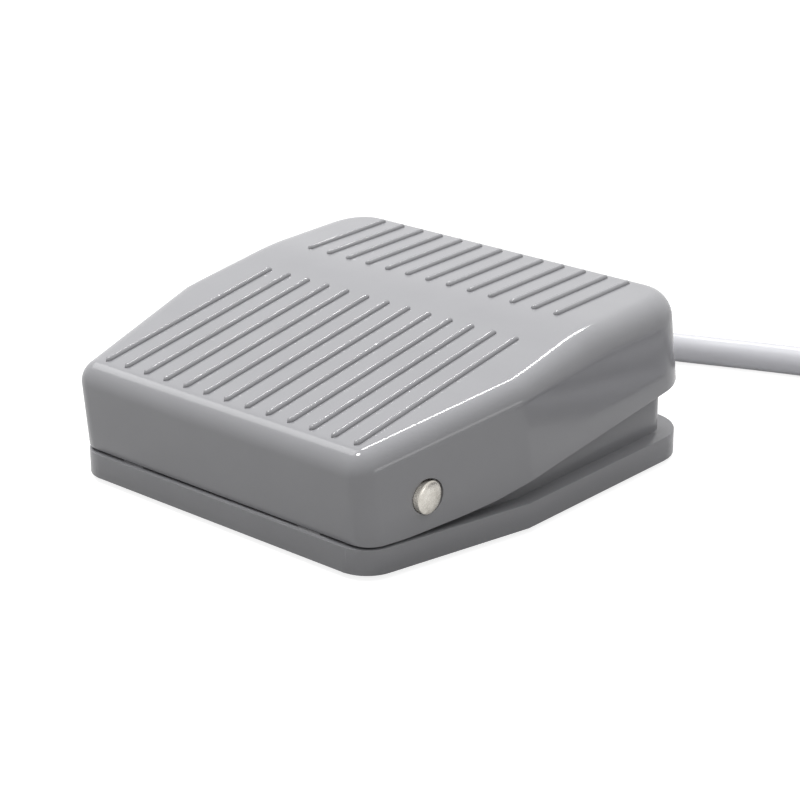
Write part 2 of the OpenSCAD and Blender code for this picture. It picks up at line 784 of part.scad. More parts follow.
module closed_terminal() {
    color("#cdb26a") {
        terminal_strip(contact_y - 2, rear_tab, closed_z, rear_tab - tab_hole_back);
        translate([switch_x, contact_y, closed_face]) cylinder(r = contact_r, h = fixed_h, $fn = 48);
    }
}

// Turns the level blade up to the upper contact
module blade_up() {
    translate([switch_x, blade_pivot_y, blade_z])
        rotate([blade_tilt, 0, 0])
            children();
}

module contact_blade() {
    color("#d9a66a")
    blade_up()
        difference() {
            union() {
                bar(blade_roll_r, -blade_w / 2 + 0.3, blade_w / 2 - 0.3, 32);
                translate([-blade_w / 2, 0, -blade_t / 2]) cube([blade_w, contact_y - blade_pivot_y + 2, blade_t]);
            }
            translate([0, contact_y - blade_pivot_y, -through]) cylinder(r = contact_r / 2 + snug, h = 2 * through, $fn = 32);
        }
}

module moving_contact() {
    color("#e3e3e0")
    blade_up()
        translate([0, contact_y - blade_pivot_y, 0]) {
            cylinder(r = contact_r / 2, h = blade_t + 0.2, center = true, $fn = 32);
            for (side = [-1, 1])
                translate([0, 0, side * (blade_t + contact_h) / 2])
                    cylinder(r = contact_r, h = contact_h, center = true, $fn = 48);
        }
}

// Cross-head screw along +Z, its head's underside at the origin
module screw(head_r, head_h, shank_r, length) {
    difference() {
        union() {
            cylinder(r = head_r, h = head_h, $fn = 48);
            translate([0, 0, -length]) cylinder(r = shank_r, h = length + 0.2, $fn = 32);
        }
        for (turn = [0, 90])
            rotate([0, 0, turn])
                translate([-0.35, -head_r * 0.6, head_h * 0.4]) cube([0.7, head_r * 1.2, head_h]);
    }
}

module switch_screws() {
    color("#c7c9cd")
    for (hole = [screw_high, screw_low])
        translate([switch_x + case_t / 2, hole[0], hole[1]])
            rotate([0, 90, 0])
                screw(2.7, 1.7, screw_r - 0.22, case_t + bracket_t - 0.3);
}

// ---- cable entry ----

module cable_entry() {
    color("#d6d6da")
    translate([0, jacket_end, cable_z])
        rotate([-90, 0, 0]) cylinder(r = cable_r, h = boot_end - jacket_end, $fn = 64);
}

// Grommet with a flange each side of the wall and a grooved, tapering boot
module cable_grommet() {
    inner = cable_r + 0.03;
    outer = boot_end - wall_rear;
    taper = [for (i = [0:3]) let (y = 3 + i * 2.6, r = neck_r - 0.15 - i * 0.14)
        each [[r, y], [r, y + 1.5], [r - 0.5, y + 1.5], [r - 0.5, y + 2.6]]];
    color("#3a3b3e")
    translate([0, wall_rear, cable_z])
        rotate([-90, 0, 0])
            rotate_extrude($fn = 72)
                polygon(concat(
                    [[inner, -wall_t - 1.4], [neck_r + 1, -wall_t - 1.4], [neck_r + 1, -wall_t], [neck_r - snug, -wall_t],
                     [neck_r - snug, 0], [neck_r + 0.3, 0], [neck_r + 0.3, 1.2], [neck_r - 0.15, 1.6]],
                    taper,
                    [[cable_r + 0.5, outer], [inner, outer]]
                ));
}

module cable_clamp() {
    color("#77787c")
    difference() {
        union() {
            translate([-clamp_half, clamp_y - clamp_w / 2 + 0.5, clamp_bar_low]) cube([2 * clamp_half, clamp_w - 1, clamp_bar_t]);
            intersection() {
                translate([0, clamp_y - clamp_w / 2 + 0.5, cable_z])
                    rotate([-90, 0, 0]) cylinder(r = cable_r + 1.8, h = clamp_w - 1, $fn = 48);
                translate([-clamp_half, clamp_y - clamp_w, clamp_bar_low]) cube([2 * clamp_half, 2 * clamp_w, 2 * cable_r]);
            }
        }
        translate([0, clamp_y - clamp_w, cable_z])
            rotate([-90, 0, 0]) cylinder(r = cable_r + 0.05, h = 2 * clamp_w, $fn = 48);
        for (x = [-clamp_screw_x, clamp_screw_x])
            translate([x, clamp_y, clamp_bar_low - through]) cylinder(r = screw_r - 0.1, h = clamp_bar_t + 2 * through, $fn = 32);
    }
}

module clamp_screws() {
    color("#c7c9cd")
    for (x = [-clamp_screw_x, clamp_screw_x])
        translate([x, clamp_y, clamp_bar_low + clamp_bar_t])
            screw(2.2, 1.4, screw_r - 0.42, clamp_bar_low + clamp_bar_t - floor_top - 1.5);
}

module common_core() {
    color("#5b4636") tube(common_route, core_d / 2, 8);
}

module open_core() {
    color("#2f5f9e") tube(open_route, core_d / 2, 8);
}

module closed_core() {
    color("#3c3c3e") tube(closed_route, core_d / 2, 8);
}

// ---- free cable ----

module cable_lead() {
    color("#d6d6da") tube(lead_route, cable_r, 12);
}

module cable_coil() {
    color("#d6d6da")
    translate([coil_center[0], coil_center[1], coil_lift])
        rotate_extrude($fn = 96)
            translate([coil_d / 2 - coil_half, 0]) coil_section();
}

// Section through the wound turns, with rounded corners
module coil_section() {
    size = 2 * coil_half;
    cut = cable_r * 0.6;
    polygon([
        [cut, 0], [size - cut, 0], [size, cut], [size, size - cut],
        [size - cut, size], [cut, size], [0, size - cut], [0, cut]
    ]);
}

module cable_tail() {
    color("#d6d6da") tube(tail_route, cable_r, 12);
}

// Three bare-ended cores that fan out from the jacket's cut end
module cable_ends() {
    last = len(tail_route) - 1;
    heading = tail_route[last] - tail_route[last - 1];
    color("#b5b6b8")
    for (fan = [-1, 0, 1])
        translate(tail_route[last])
            rotate([0, 0, atan2(heading[1], heading[0])])
                tube([for (p = end_route) [p[0], p[1] + fan * (1.7 + 0.08 * p[0]), p[2]]], core_d / 2 - 0.2, 8);
}

// Strap round the coil's section, on the side away from the object
module coil_tie() {
    inside = coil_half + 0.15;
    color("#ececee")
    translate([coil_center[0] + coil_d / 2, coil_center[1], coil_lift + coil_half])
        difference() {
            translate([-inside - tie_t, -tie_w / 2, -coil_half - tie_t])
                cube([2 * (inside + tie_t), tie_w, 2 * (coil_half + tie_t)]);
            translate([-inside, -tie_w, -coil_half]) cube([2 * inside, 2 * tie_w, 2 * coil_half]);
        }
}

base();
pedal();
hinge_pins();
rubber_feet();
return_spring();
switch_case();
switch_cover();
switch_plunger();
switch_lever();
lever_pin();
common_terminal();
open_terminal();
closed_terminal();
contact_blade();
moving_contact();
switch_screws();
cable_entry();
cable_grommet();
cable_clamp();
clamp_screws();
common_core();
open_core();
closed_core();
cable_lead();
cable_coil();
cable_tail();
cable_ends();
coil_tie();
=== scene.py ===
import json
import math

import bmesh
import bpy
from mathutils import Matrix, Vector


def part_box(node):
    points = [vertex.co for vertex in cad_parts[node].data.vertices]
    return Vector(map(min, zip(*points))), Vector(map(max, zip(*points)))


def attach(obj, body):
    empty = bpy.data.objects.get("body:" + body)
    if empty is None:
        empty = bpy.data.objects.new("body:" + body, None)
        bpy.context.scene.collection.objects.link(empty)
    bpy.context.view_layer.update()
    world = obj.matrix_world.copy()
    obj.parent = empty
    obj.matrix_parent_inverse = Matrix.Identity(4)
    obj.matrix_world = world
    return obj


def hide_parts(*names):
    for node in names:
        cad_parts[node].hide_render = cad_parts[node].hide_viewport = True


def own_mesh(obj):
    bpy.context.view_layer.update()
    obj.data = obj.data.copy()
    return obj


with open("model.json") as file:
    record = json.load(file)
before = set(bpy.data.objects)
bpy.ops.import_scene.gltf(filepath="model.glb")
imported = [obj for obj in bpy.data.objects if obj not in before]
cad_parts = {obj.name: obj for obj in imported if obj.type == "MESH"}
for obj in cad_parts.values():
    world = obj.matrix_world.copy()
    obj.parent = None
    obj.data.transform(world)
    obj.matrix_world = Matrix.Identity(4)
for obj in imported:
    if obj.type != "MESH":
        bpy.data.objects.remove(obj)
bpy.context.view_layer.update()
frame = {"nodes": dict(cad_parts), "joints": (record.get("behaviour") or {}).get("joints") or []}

mm = 0.001

# ---- Camera ----
# A long lens from the front right, a little above the pedal and some 43 cm away.
# The small shift places the switch in the middle of the frame.
eye = Vector((263.04, -292.57, 163.23)) * mm
aim = Vector((-0.54, 7.46, 16.0)) * mm
lens = bpy.data.cameras.new("camera")
lens.sensor_width = 36
lens.lens = 100.935
lens.shift_x = 0.0002
lens.shift_y = -0.0389
lens.clip_start = 0.01
lens.clip_end = 20
camera = bpy.data.objects.new("camera", lens)
camera.location = eye
camera.rotation_euler = (aim - eye).to_track_quat("-Z", "Y").to_euler()
bpy.context.scene.collection.objects.link(camera)
bpy.context.scene.camera = camera


# ---- Free cable ----
# A three-core flexible lead in a smooth light-grey PVC jacket, 6 mm across and one metre long.
# It drops from the boot to the table, runs off to the right and is wound in a coil of four turns.
def node(tree, kind, **settings):
    made = tree.nodes.new(kind)
    for key, value in settings.items():
        if key in made.inputs:
            made.inputs[key].default_value = value
        else:
            setattr(made, key, value)
    return made


def object_pattern(tree, scale, detail=3.0, roughness=0.5, stretch=(1, 1, 1)):
    """Noise on the piece's own coordinates."""
    place = node(tree, "ShaderNodeTexCoord")
    turn = node(tree, "ShaderNodeMapping")
    turn.inputs["Scale"].default_value = stretch
    noise = node(tree, "ShaderNodeTexNoise", Scale=scale, Detail=detail, Roughness=roughness)
    tree.links.new(place.outputs["Object"], turn.inputs["Vector"])
    tree.links.new(turn.outputs["Vector"], noise.inputs["Vector"])
    return noise.outputs["Fac"]


def spread(tree, value, low, high, from_low=0.3, from_high=0.7):
    """Noise value turned into a number between low and high."""
    ramp = node(tree, "ShaderNodeMapRange")
    ramp.inputs["From Min"].default_value = from_low
    ramp.inputs["From Max"].default_value = from_high
    ramp.inputs["To Min"].default_value = low
    ramp.inputs["To Max"].default_value = high
    tree.links.new(value, ramp.inputs["Value"])
    return ramp.outputs["Result"]


def two_tones(tree, value, dark, light):
    ramp = node(tree, "ShaderNodeValToRGB")
    ramp.color_ramp.elements[0].color = (*dark, 1)
    ramp.color_ramp.elements[1].color = (*light, 1)
    ramp.color_ramp.elements[0].position = 0.3
    ramp.color_ramp.elements[1].position = 0.7
    tree.links.new(value, ramp.inputs["Fac"])
    return ramp.outputs["Color"]


def moulded(name, colour, shine, grain=0.00001, grain_scale=2500, mottle=0.03, ior=1.5):
    """Moulded plastic or rubber: a faint mottle in the colour, uneven gloss and a fine surface grain."""
    made = bpy.data.materials.new(name)
    made.use_nodes = True
    tree = made.node_tree
    skin = tree.nodes["Principled BSDF"]
    skin.inputs["IOR"].default_value = ior
    dark = [c * (1 - mottle) for c in colour]
    light = [min(1, c * (1 + mottle)) for c in colour]
    cloud = object_pattern(tree, 90, 4)
    tree.links.new(two_tones(tree, cloud, dark, light), skin.inputs["Base Color"])
    handled = object_pattern(tree, 160, 5, 0.6)
    gloss = spread(tree, handled, shine * 0.85, shine * 1.2)
    tree.links.new(gloss, skin.inputs["Roughness"])
    bump = node(tree, "ShaderNodeBump", Strength=0.5, Distance=grain)
    tree.links.new(object_pattern(tree, grain_scale, 2), bump.inputs["Height"])
    tree.links.new(bump.outputs["Normal"], skin.inputs["Normal"])
    return made


def smooth_line(points, step):
    """Even points along a smooth curve through the given ones."""
    points = [Vector(p) for p in points]
    ends = [2 * points[0] - points[1], *points, 2 * points[-1] - points[-2]]
    line = [points[0]]
    for a, b, c, d in zip(ends, ends[1:], ends[2:], ends[3:]):
        count = max(1, round((c - b).length / step))
        for i in range(1, count + 1):
            t = i / count
            line.append(0.5 * (2 * b + (c - a) * t + (2 * a - 5 * b + 4 * c - d) * t**2
                               + (3 * b - a - 3 * c + d) * t**3))
    return line


cable_across = 6 * mm
lead_route = [
    (0, 53, 10.4), (0, 56, 10.4), (0, 60, 9.8), (0, 64, 8.8), (1, 68, 7.4), (3, 73, 5.6), (6.2, 77.6, 4.1),
    (10.5, 81.4, 3.3), (15.8, 84.4, 3), (22, 87, 3), (29, 89.8, 3), (36, 92.5, 3),
    (44, 95, 3), (52, 96.7, 3), (61, 97.5, 3), (70, 97.6, 3), (79, 97.3, 3.1), (88, 96.7, 3.4),
    (97, 95.9, 3.8), (106.5, 94.9, 4),
]
coil_centre = Vector((103.5, 60.5, 0))
coil_start = 85
coil_end = 1478


def between(value, start, end):
    """Smooth share of the way from start to end."""
    t = min(max((value - start) / (end - start), 0), 1)
    return t * t * (3 - 2 * t)


def coil_point(degree):
    """Point of the wound part: two turns below, two above them and most of one on top."""
    radius = 34.5 - 6 * between(degree, 300, 360) + 6 * between(degree, 930, 1000) - 3 * between(degree, 1210, 1270)
    height = 4 + 6 * between(degree, 590, 680) + 5.3 * between(degree, 1173, 1238)
    height += 0.75 * (between(degree, 1262, 1290) - between(degree, 1350, 1385))
    around = math.radians(coil_start - degree)
    return coil_centre + Vector((radius * math.cos(around), radius * math.sin(around), height))


coil_line = [coil_point(degree) for degree in range(4, coil_end + 1, 4)]
cable_line = [Vector(p) * mm for p in [*smooth_line(lead_route, 2.5), *coil_line]]

cable_curve = bpy.data.curves.new("cable", "CURVE")
cable_curve.dimensions = "3D"
cable_curve.bevel_depth = cable_across / 2
cable_curve.bevel_resolution = 6
cable_curve.use_fill_caps = True
spline = cable_curve.splines.new("POLY")
spline.points.add(len(cable_line) - 1)
for point, place in zip(spline.points, cable_line):
    point.co = (*place, 1)
cable = bpy.data.objects.new("cable", cable_curve)
bpy.context.scene.collection.objects.link(cable)
light_grey_pvc = moulded("light_grey_pvc", (0.64, 0.64, 0.675), 0.32, grain=0.000004)
cable_curve.materials.append(light_grey_pvc)
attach(cable, "housing")
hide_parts("cable_lead", "cable_coil", "cable_tail")


# ---- Bare ends of the cable ----
# The jacket is cut square, and three insulated cores stick out of it, as they are sold for wiring in.
# Each core ends in a few millimetres of tinned strands.
def finish_mesh(name, mesh, material, sharp=35):
    """Object at the origin with outward faces, smooth but for its sharp edges."""
    made = bpy.data.objects.new(name, mesh)
    bpy.context.scene.collection.objects.link(made)
    mesh.materials.clear()
    for each in material if isinstance(material, (list, tuple)) else [material]:
        mesh.materials.append(each)
    for face in mesh.polygons:
        face.use_smooth = True
    mesh.set_sharp_from_angle(angle=math.radians(sharp))
    return made


def sweep(line, radii, sides=24, slot=0):
    """Closed round tube along a line, with a radius at each of its points."""
    tube = bmesh.new()
    rings = []
    lift = Vector((0, 0, 1))
    for i, (place, radius) in enumerate(zip(line, radii)):
        along = (line[min(i + 1, len(line) - 1)] - line[max(i - 1, 0)]).normalized()
        side = along.cross(lift).normalized()
        lift = side.cross(along).normalized()
        turns = [2 * math.pi * k / sides for k in range(sides)]
        rings.append([tube.verts.new(place + radius * (math.cos(t) * side + math.sin(t) * lift)) for t in turns])
    for a, b in zip(rings, rings[1:]):
        for k in range(sides):
            tube.faces.new((a[k], a[(k + 1) % sides], b[(k + 1) % sides], b[k]))
    tube.faces.new(list(reversed(rings[0])))
    tube.faces.new(rings[-1])
    for face in tube.faces:
        face.material_index = slot
    return tube


def join_all(parts):
    """One mesh out of several bmeshes, with its faces pointing outwards."""
    whole = bmesh.new()
    for part in parts:
        bmesh.ops.recalc_face_normals(part, faces=part.faces)
        piece = bpy.data.meshes.new("part")
        part.to_mesh(piece)
        part.free()
        whole.from_mesh(piece)
        bpy.data.meshes.remove(piece)
    mesh = bpy.data.meshes.new("mesh")
    whole.to_mesh(mesh)
    whole.free()
    return mesh


def metal(name, dark, light, shine, scratch=0.06, scale=400, stretch=(1, 1, 1), bump_depth=0.000004):
    """Bare or plated metal: slightly uneven colour and gloss, with fine handling marks."""
    made = bpy.data.materials.new(name)
    made.use_nodes = True
    tree = made.node_tree
    skin = tree.nodes["Principled BSDF"]
    skin.inputs["Metallic"].default_value = 1
    tones = two_tones(tree, object_pattern(tree, scale, 5, 0.6, stretch), dark, light)
    tree.links.new(tones, skin.inputs["Base Color"])
    marks = object_pattern(tree, scale * 3, 6, 0.7, stretch)
    tree.links.new(spread(tree, marks, shine, shine + scratch), skin.inputs["Roughness"])
    bump = node(tree, "ShaderNodeBump", Strength=0.6, Distance=bump_depth)
    tree.links.new(marks, bump.inputs["Height"])
    tree.links.new(bump.outputs["Normal"], skin.inputs["Normal"])
    return made


tinned_strands = metal("tinned_strands", (0.50, 0.50, 0.49), (0.72, 0.72, 0.70), 0.28, scale=1500)
brown_core = moulded("brown_core", (0.13, 0.055, 0.03), 0.34)
blue_core = moulded("blue_core", (0.02, 0.07, 0.26), 0.34)
black_core = moulded("black_core", (0.018, 0.018, 0.02), 0.34)
core_line = [(-0.3, 0, 0), (2, -0.1, 0), (6, -0.6, -0.5), (10, -1.6, -1.1), (14, -3.1, -1.5), (19.5, -6, -1.6)]
core_across = 1.3
strip_from = 14.5
tail_end = coil_line[-1]
heading = tail_end - coil_line[-2]
fan_turn = Matrix.Rotation(math.atan2(heading.y, heading.x), 4, "Z")
core_parts = []
for lane, tone in ((-1, 1), (0, 2), (1, 3)):
    points = [Vector((x, y + lane * (1.5 + 0.1 * x), z)) for x, y, z in core_line]
    line = [(fan_turn @ p + tail_end) * mm for p in smooth_line(points, 0.5)]
    runs = [sum((b - a).length for a, b in zip(line[:i], line[1:i + 1])) for i in range(len(line))]
    cut = max(i for i, run in enumerate(runs) if run < strip_from * mm)
    sleeve = line[:cut + 1]
    core_parts.append(sweep(sleeve, [core_across / 2 * mm] * len(sleeve), 20, tone))
    bare = line[cut:]
    core_parts.append(sweep(bare, [core_across * 0.3 * mm] * len(bare), 14, 0))
core_finishes = [tinned_strands, brown_core, blue_core, black_core]
cable_ends = finish_mesh("cable_ends_stripped", join_all(core_parts), core_finishes)
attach(cable_ends, "housing")
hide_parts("cable_ends")


# ---- Coil tie ----
# A flat nylon strap round the four turns, pulled tight through its own ratchet head.
# The strap's teeth show as fine ridges across its width.
tie_nylon = moulded("tie_nylon", (0.72, 0.72, 0.69), 0.42, grain=0.00001, ior=1.53)
tie_low, tie_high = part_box("coil_tie")
tie_middle = (tie_low + tie_high) / 2
strap_t = 1 * mm
corner_r = 1.6 * mm
half_x = (tie_high.x - tie_low.x) / 2
half_z = (tie_high.z - tie_low.z) / 2
strap_w = 3.6 * mm


def rounded_loop(half_a, half_b, radius, steps=8):
    loop = []
    for quarter in range(4):
        sx, sz = ((1, 1), (-1, 1), (-1, -1), (1, -1))[quarter]
        for i in range(steps + 1):
            turn = math.radians(90 * quarter + 90 * i / steps)
            loop.append((
                sx * (half_a - radius) + radius * math.cos(turn), sz * (half_b - radius) + radius * math.sin(turn)))
    return loop


strap = bmesh.new()
outer_loop = rounded_loop(half_x, half_z, corner_r + strap_t)
inner_loop = rounded_loop(half_x - strap_t, half_z - strap_t, corner_r)
edge_in = 0.25 * mm
rows = []
for loop, shrink, y in (
    (inner_loop, 0, -strap_w / 2 + edge_in), (inner_loop, 0, strap_w / 2 - edge_in),
    (inner_loop, 0.4, strap_w / 2), (outer_loop, 0.4, strap_w / 2),
    (outer_loop, 0, strap_w / 2 - edge_in), (outer_loop, 0, -strap_w / 2 + edge_in),
    (outer_loop, 0.4, -strap_w / 2), (inner_loop, 0.4, -strap_w / 2),
):
    row = []
    for (ax, az), (bx, bz), (ox, oz) in zip(loop, inner_loop, outer_loop):
        mx, mz = (bx + ox) / 2, (bz + oz) / 2
        row.append(strap.verts.new(tie_middle + Vector((ax + (mx - ax) * shrink, y, az + (mz - az) * shrink))))
    rows.append(row)
for a, b in zip(rows, rows[1:] + rows[:1]):
    for k in range(len(a)):
        strap.faces.new((a[k], a[(k + 1) % len(a)], b[(k + 1) % len(a)], b[k]))


def soft_box(low, high, round_off):
    """Box with rounded edges."""
    block = bmesh.new()
    bmesh.ops.create_cube(block, size=1)
    middle = (Vector(low) + Vector(high)) / 2
    size = Vector(high) - Vector(low)
    for v in block.verts:
        v.co = middle + Vector((v.co.x * size.x, v.co.y * size.y, v.co.z * size.z))
    if round_off:
        bmesh.ops.bevel(block, geom=block.edges[:], offset=round_off, segments=2, affect="EDGES", profile=0.5)
    return block


tie_parts = [strap]
ridge_count = 8
for i in range(ridge_count):
    x = tie_middle.x - half_x * 0.7 + i * 0.9 * mm
    tie_parts.append(soft_box(
        (x, tie_middle.y - 1.3 * mm, tie_high.z - 0.1 * mm), (x + 0.4 * mm, tie_middle.y + 1.3 * mm, tie_high.z), 0))
tie_parts.append(soft_box(
    (tie_middle.x + 1.6 * mm, tie_middle.y - 2 * mm, tie_high.z - 0.8 * mm),
    (tie_middle.x + 5.4 * mm, tie_middle.y + 2 * mm, tie_high.z), 0.3 * mm))
coil_strap = finish_mesh("coil_strap", join_all(tie_parts), tie_nylon)
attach(coil_strap, "housing")
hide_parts("coil_tie")


# ---- Pedal shell ----
# One injection-moulded ABS cover, open below, with rounded shoulders and a blunt ridge across it.
# It is drawn pressed down level with the base and then raised to rest about the hinge pins.
base_low, base_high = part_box("base")
front = base_low.y
rear = base_high.y
half_wide = base_high.x
half_front = 35.6 * mm
bend_back = 34.8 * mm
flare = math.atan((half_wide - half_front) / bend_back)
front_round = 4.6 * mm
rear_round = 9.6 * mm
bend_round = 9 * mm
plate_top = 5.7 * mm
joints = {j["name"]: j for j in frame["joints"]}
hinge = joints["pedal_hinge"]
hinge_point = Vector(hinge["pos_m"])
travel = math.radians(7.2)
raise_pedal = Matrix.Translation(hinge_point) @ Matrix.Rotation(travel, 4, "X") @ Matrix.Translation(-hinge_point)
ridge_back = 57.1 * mm
ridge_soft = 4.3 * mm
roof_front, roof_ridge, roof_rear = 18.35 * mm, 20.9 * mm, 18.15 * mm
skirt_thick, roof_thick = 2 * mm, 2.4 * mm
skirt_lean = 0.3 * mm
skirt_edge = plate_top + 1.25 * mm
front_skirt_drop = 0.3 * mm


def side_at(back, inset):
    return half_front + back * math.tan(flare) - inset / math.cos(flare)


def arc_points(cx, cy, radius, start, end, steps):
    return [(cx + radius * math.cos(math.radians(start + (end - start) * i / steps)),
             cy + radius * math.sin(math.radians(start + (end - start) * i / steps))) for i in range(steps + 1)]


def line_points(a, b, steps):
    return [(a[0] + (b[0] - a[0]) * i / steps, a[1] + (b[1] - a[1]) * i / steps) for i in range(1, steps)]


def half_outline(inset, soft_bend=0.0):
    """Right half of the outline from the front's middle to the rear's middle, as (x, y)."""
    r = max(front_round - inset, 0.6 * mm)
    fx, fy = side_at(inset + r, inset + r), front + inset + r
    angle = math.degrees(flare)
    nose = arc_points(fx, fy, r, -90, -angle, 14)
    bend = (half_wide - inset, front + bend_back + inset * math.tan(flare / 2))
    if soft_bend:
        rb = max(soft_bend - inset, 0.6 * mm)
        reach = rb * math.tan(flare / 2)
        knee = arc_points(bend[0] - rb, bend[1] + reach, rb, -angle, 0, 6)
    else:
        knee = [bend]
    rr = max(rear_round - inset, 0.6 * mm)
    tail = arc_points(half_wide - inset - rr, rear - inset - rr, rr, 0, 90, 16)
    return [(0, front + inset), *line_points((0, front + inset), nose[0], 20), *nose,
            *line_points(nose[-1], knee[0], 16), *knee, *line_points(knee[-1], tail[0], 28), *tail,
            *line_points(tail[-1], (0, rear - inset), 18), (0, rear - inset)]


def whole_outline(inset, soft_bend=0.0):
    right = half_outline(inset, soft_bend)
    return right + [(-x, y) for x, y in reversed(right[1:-1])]


def roof_height(y, sink=0.0):
    back = y - front
    up = (roof_ridge - roof_front) / ridge_back
    down = (roof_rear - roof_ridge) / (rear - front - ridge_back)
    off = back - ridge_back
    if abs(off) < ridge_soft:
        rise = (up + down) / 2 * off + (down - up) / (4 * ridge_soft) * (off * off + ridge_soft * ridge_soft)
    else:
        rise = up * off if off < 0 else down * off
    return plate_top + roof_ridge + rise - sink


def shoulder_round(y):
    """Rounding of the roof's edge: it widens along the sides and is tight across the rear."""
    side = 4.0 * mm + 1.2 * mm * between(y, front + bend_back, front + ridge_back)
    turn = max(0, (y - rear + rear_round) / rear_round)
    return side + (2.8 * mm - side) * min(turn, 1)**2


def skirt_height(y):
    """Height of the skirt's lower edge, pressed: flat at the front when raised, bellied behind the pins."""
    back = y - front
    front_edge = skirt_edge - front_skirt_drop
    stations = [(-3 * mm, front_edge + 11 * mm * math.tan(travel)), (8 * mm, front_edge),
                (20 * mm, skirt_edge - 0.8 * mm), (27 * mm, skirt_edge - 0.8 * mm),
                (bend_back, skirt_edge), (90 * mm, skirt_edge)]
    for (a, za), (b, zb) in zip(stations, stations[1:]):
        if back <= b:
            return za + (zb - za) * (back - a) / (b - a)
    return skirt_edge


def shell_rings(wall, roof_t):
    """Rings of points from the skirt's lower edge to the roof; wall is the inset of this skin."""
    rings = []
    base_ring = whole_outline(wall, bend_round)
    lips = ((0.35, 0), (0.1, 0.1), (0, 0.38)) if wall == 0 else ((-0.2, 0), (0, 0.25))
    for inset, up in lips:
        rings.append([(x, y, skirt_height(y) + up * mm) for x, y in whole_outline(wall + inset * mm, bend_round)])
    lean = whole_outline(wall + skirt_lean, bend_round)
    steps = 14
    foot = [(x, y, skirt_height(y) + lips[-1][1] * mm) for x, y in base_ring]
    top = []
    for x, y in lean:
        r = shoulder_round(y) - wall
        top.append((x, y, roof_height(y, roof_t) - r))
    for i in (1, 2, 3):
        rings.append([tuple(a + (b - a) * i / 3 for a, b in zip(p, q)) for p, q in zip(foot, top)])
    for i in range(1, steps + 1):
        turn = math.radians(90 * i / steps)
        outlines = {}
        points = []
        for index, (_, y0) in enumerate(lean):
            r = shoulder_round(y0) - wall
            inset = wall + skirt_lean + r * (1 - math.cos(turn))
            key = round(inset / mm, 3)
            if key not in outlines:
                outlines[key] = whole_outline(inset, bend_round)
            x, y = outlines[key][index]
            points.append((x, y, roof_height(y, roof_t) - r * (1 - math.sin(turn))))
        rings.append(points)
    support = []
    for index, (_, y0) in enumerate(lean):
        inset = skirt_lean + shoulder_round(y0) + 0.5 * mm
        x, y = whole_outline(inset, bend_round)[index]
        support.append((x, y, roof_height(y, roof_t)))
    rings.append(support)
    return rings


def skin(rings):
    shell = bmesh.new()
    made = [[shell.verts.new(p) for p in ring] for ring in rings]
    count = len(made[0])
    for a, b in zip(made, made[1:]):
        for k in range(count):
            shell.faces.new((a[k], a[(k + 1) % count], b[(k + 1) % count], b[k]))
    last = made[-1]
    half = count // 2
    for k in range(1, half):
        a, b, c, d = last[k], last[k + 1], last[count - k - 1], last[count - k]
        if k + 1 == half:
            shell.faces.new((a, b, d))
        else:
            shell.faces.new((a, b, c, d))
    shell.faces.new((last[0], last[1], last[count - 1]))
    return shell, made[0]


outer, outer_edge = skin(shell_rings(0, 0))
inner, inner_edge = skin(shell_rings(skirt_thick, roof_thick))
lip = bmesh.new()
rim_a = [lip.verts.new(v.co) for v in outer_edge]
rim_b = [lip.verts.new(v.co) for v in inner_edge]
for k in range(len(rim_a)):
    n = (k + 1) % len(rim_a)
    lip.faces.new((rim_a[k], rim_b[k], rim_b[n], rim_a[n]))


def merged(parts):
    """One closed surface out of several that share their borders, its faces pointing outwards."""
    whole = bmesh.new()
    for part in parts:
        piece = bpy.data.meshes.new("part")
        part.to_mesh(piece)
        part.free()
        whole.from_mesh(piece)
        bpy.data.meshes.remove(piece)
    bmesh.ops.remove_doubles(whole, verts=whole.verts, dist=1e-7)
    bmesh.ops.recalc_face_normals(whole, faces=whole.faces)
    return whole


def bmesh_object(name, part):
    mesh = bpy.data.meshes.new(name)
    part.to_mesh(mesh)
    part.free()
    made = bpy.data.objects.new(name, mesh)
    bpy.context.scene.collection.objects.link(made)
    return made


def bar_along_x(radius, from_x, to_x, y, z, sides=72):
    bar = bmesh.new()
    bmesh.ops.create_cone(bar, cap_ends=True, segments=sides, radius1=radius, radius2=radius, depth=to_x - from_x)
    place = Matrix.Translation(((from_x + to_x) / 2, y, z)) @ Matrix.Rotation(math.pi / 2, 4, "Y")
    bmesh.ops.transform(bar, matrix=place, verts=bar.verts)
    return bar


def cut_away(target, cutters):
    """Takes the cutters out of the target and leaves a plain mesh."""
    for cutter in cutters:
        step = target.modifiers.new("cut", "BOOLEAN")
        step.operation = "DIFFERENCE"
        step.solver = "EXACT"
        step.object = cutter
    graph = bpy.context.evaluated_depsgraph_get()
    mesh = bpy.data.meshes.new_from_object(target.evaluated_get(graph))
    target.modifiers.clear()
    target.data = mesh
    for cutter in cutters:
        bpy.data.objects.remove(cutter)
    return mesh


shell_body = bmesh_object("pedal_blank", merged([outer, inner, lip]))
pin_side = side_at(hinge_point.y - front, 0)
bore_r = 3.1 * mm
recess_r = 3.3 * mm
recess_deep = 0.5 * mm
cutters = []
for side in (-1, 1):
    inner_x, outer_x = pin_side - 8 * mm, half_wide + 2 * mm
    ends = sorted((side * inner_x, side * outer_x))
    cutters.append(bmesh_object("cut", bar_along_x(bore_r, *ends, hinge_point.y, hinge_point.z)))
    ends = sorted((side * (pin_side - recess_deep), side * outer_x))
    cutters.append(bmesh_object("cut", bar_along_x(recess_r, *ends, hinge_point.y, hinge_point.z)))
cable_height = 10.4 * mm
notch_half = 6.2 * mm
arch = bmesh.new()
profile = [(-notch_half, 1 * mm), (notch_half, 1 * mm)]
for i in range(33):
    turn = math.pi * i / 32
    profile.append((notch_half * math.cos(turn), cable_height + 1 * mm + notch_half * math.sin(turn)))
near = [arch.verts.new((x, rear - 4 * mm, z)) for x, z in profile]
far = [arch.verts.new((x, rear + 4 * mm, z)) for x, z in profile]
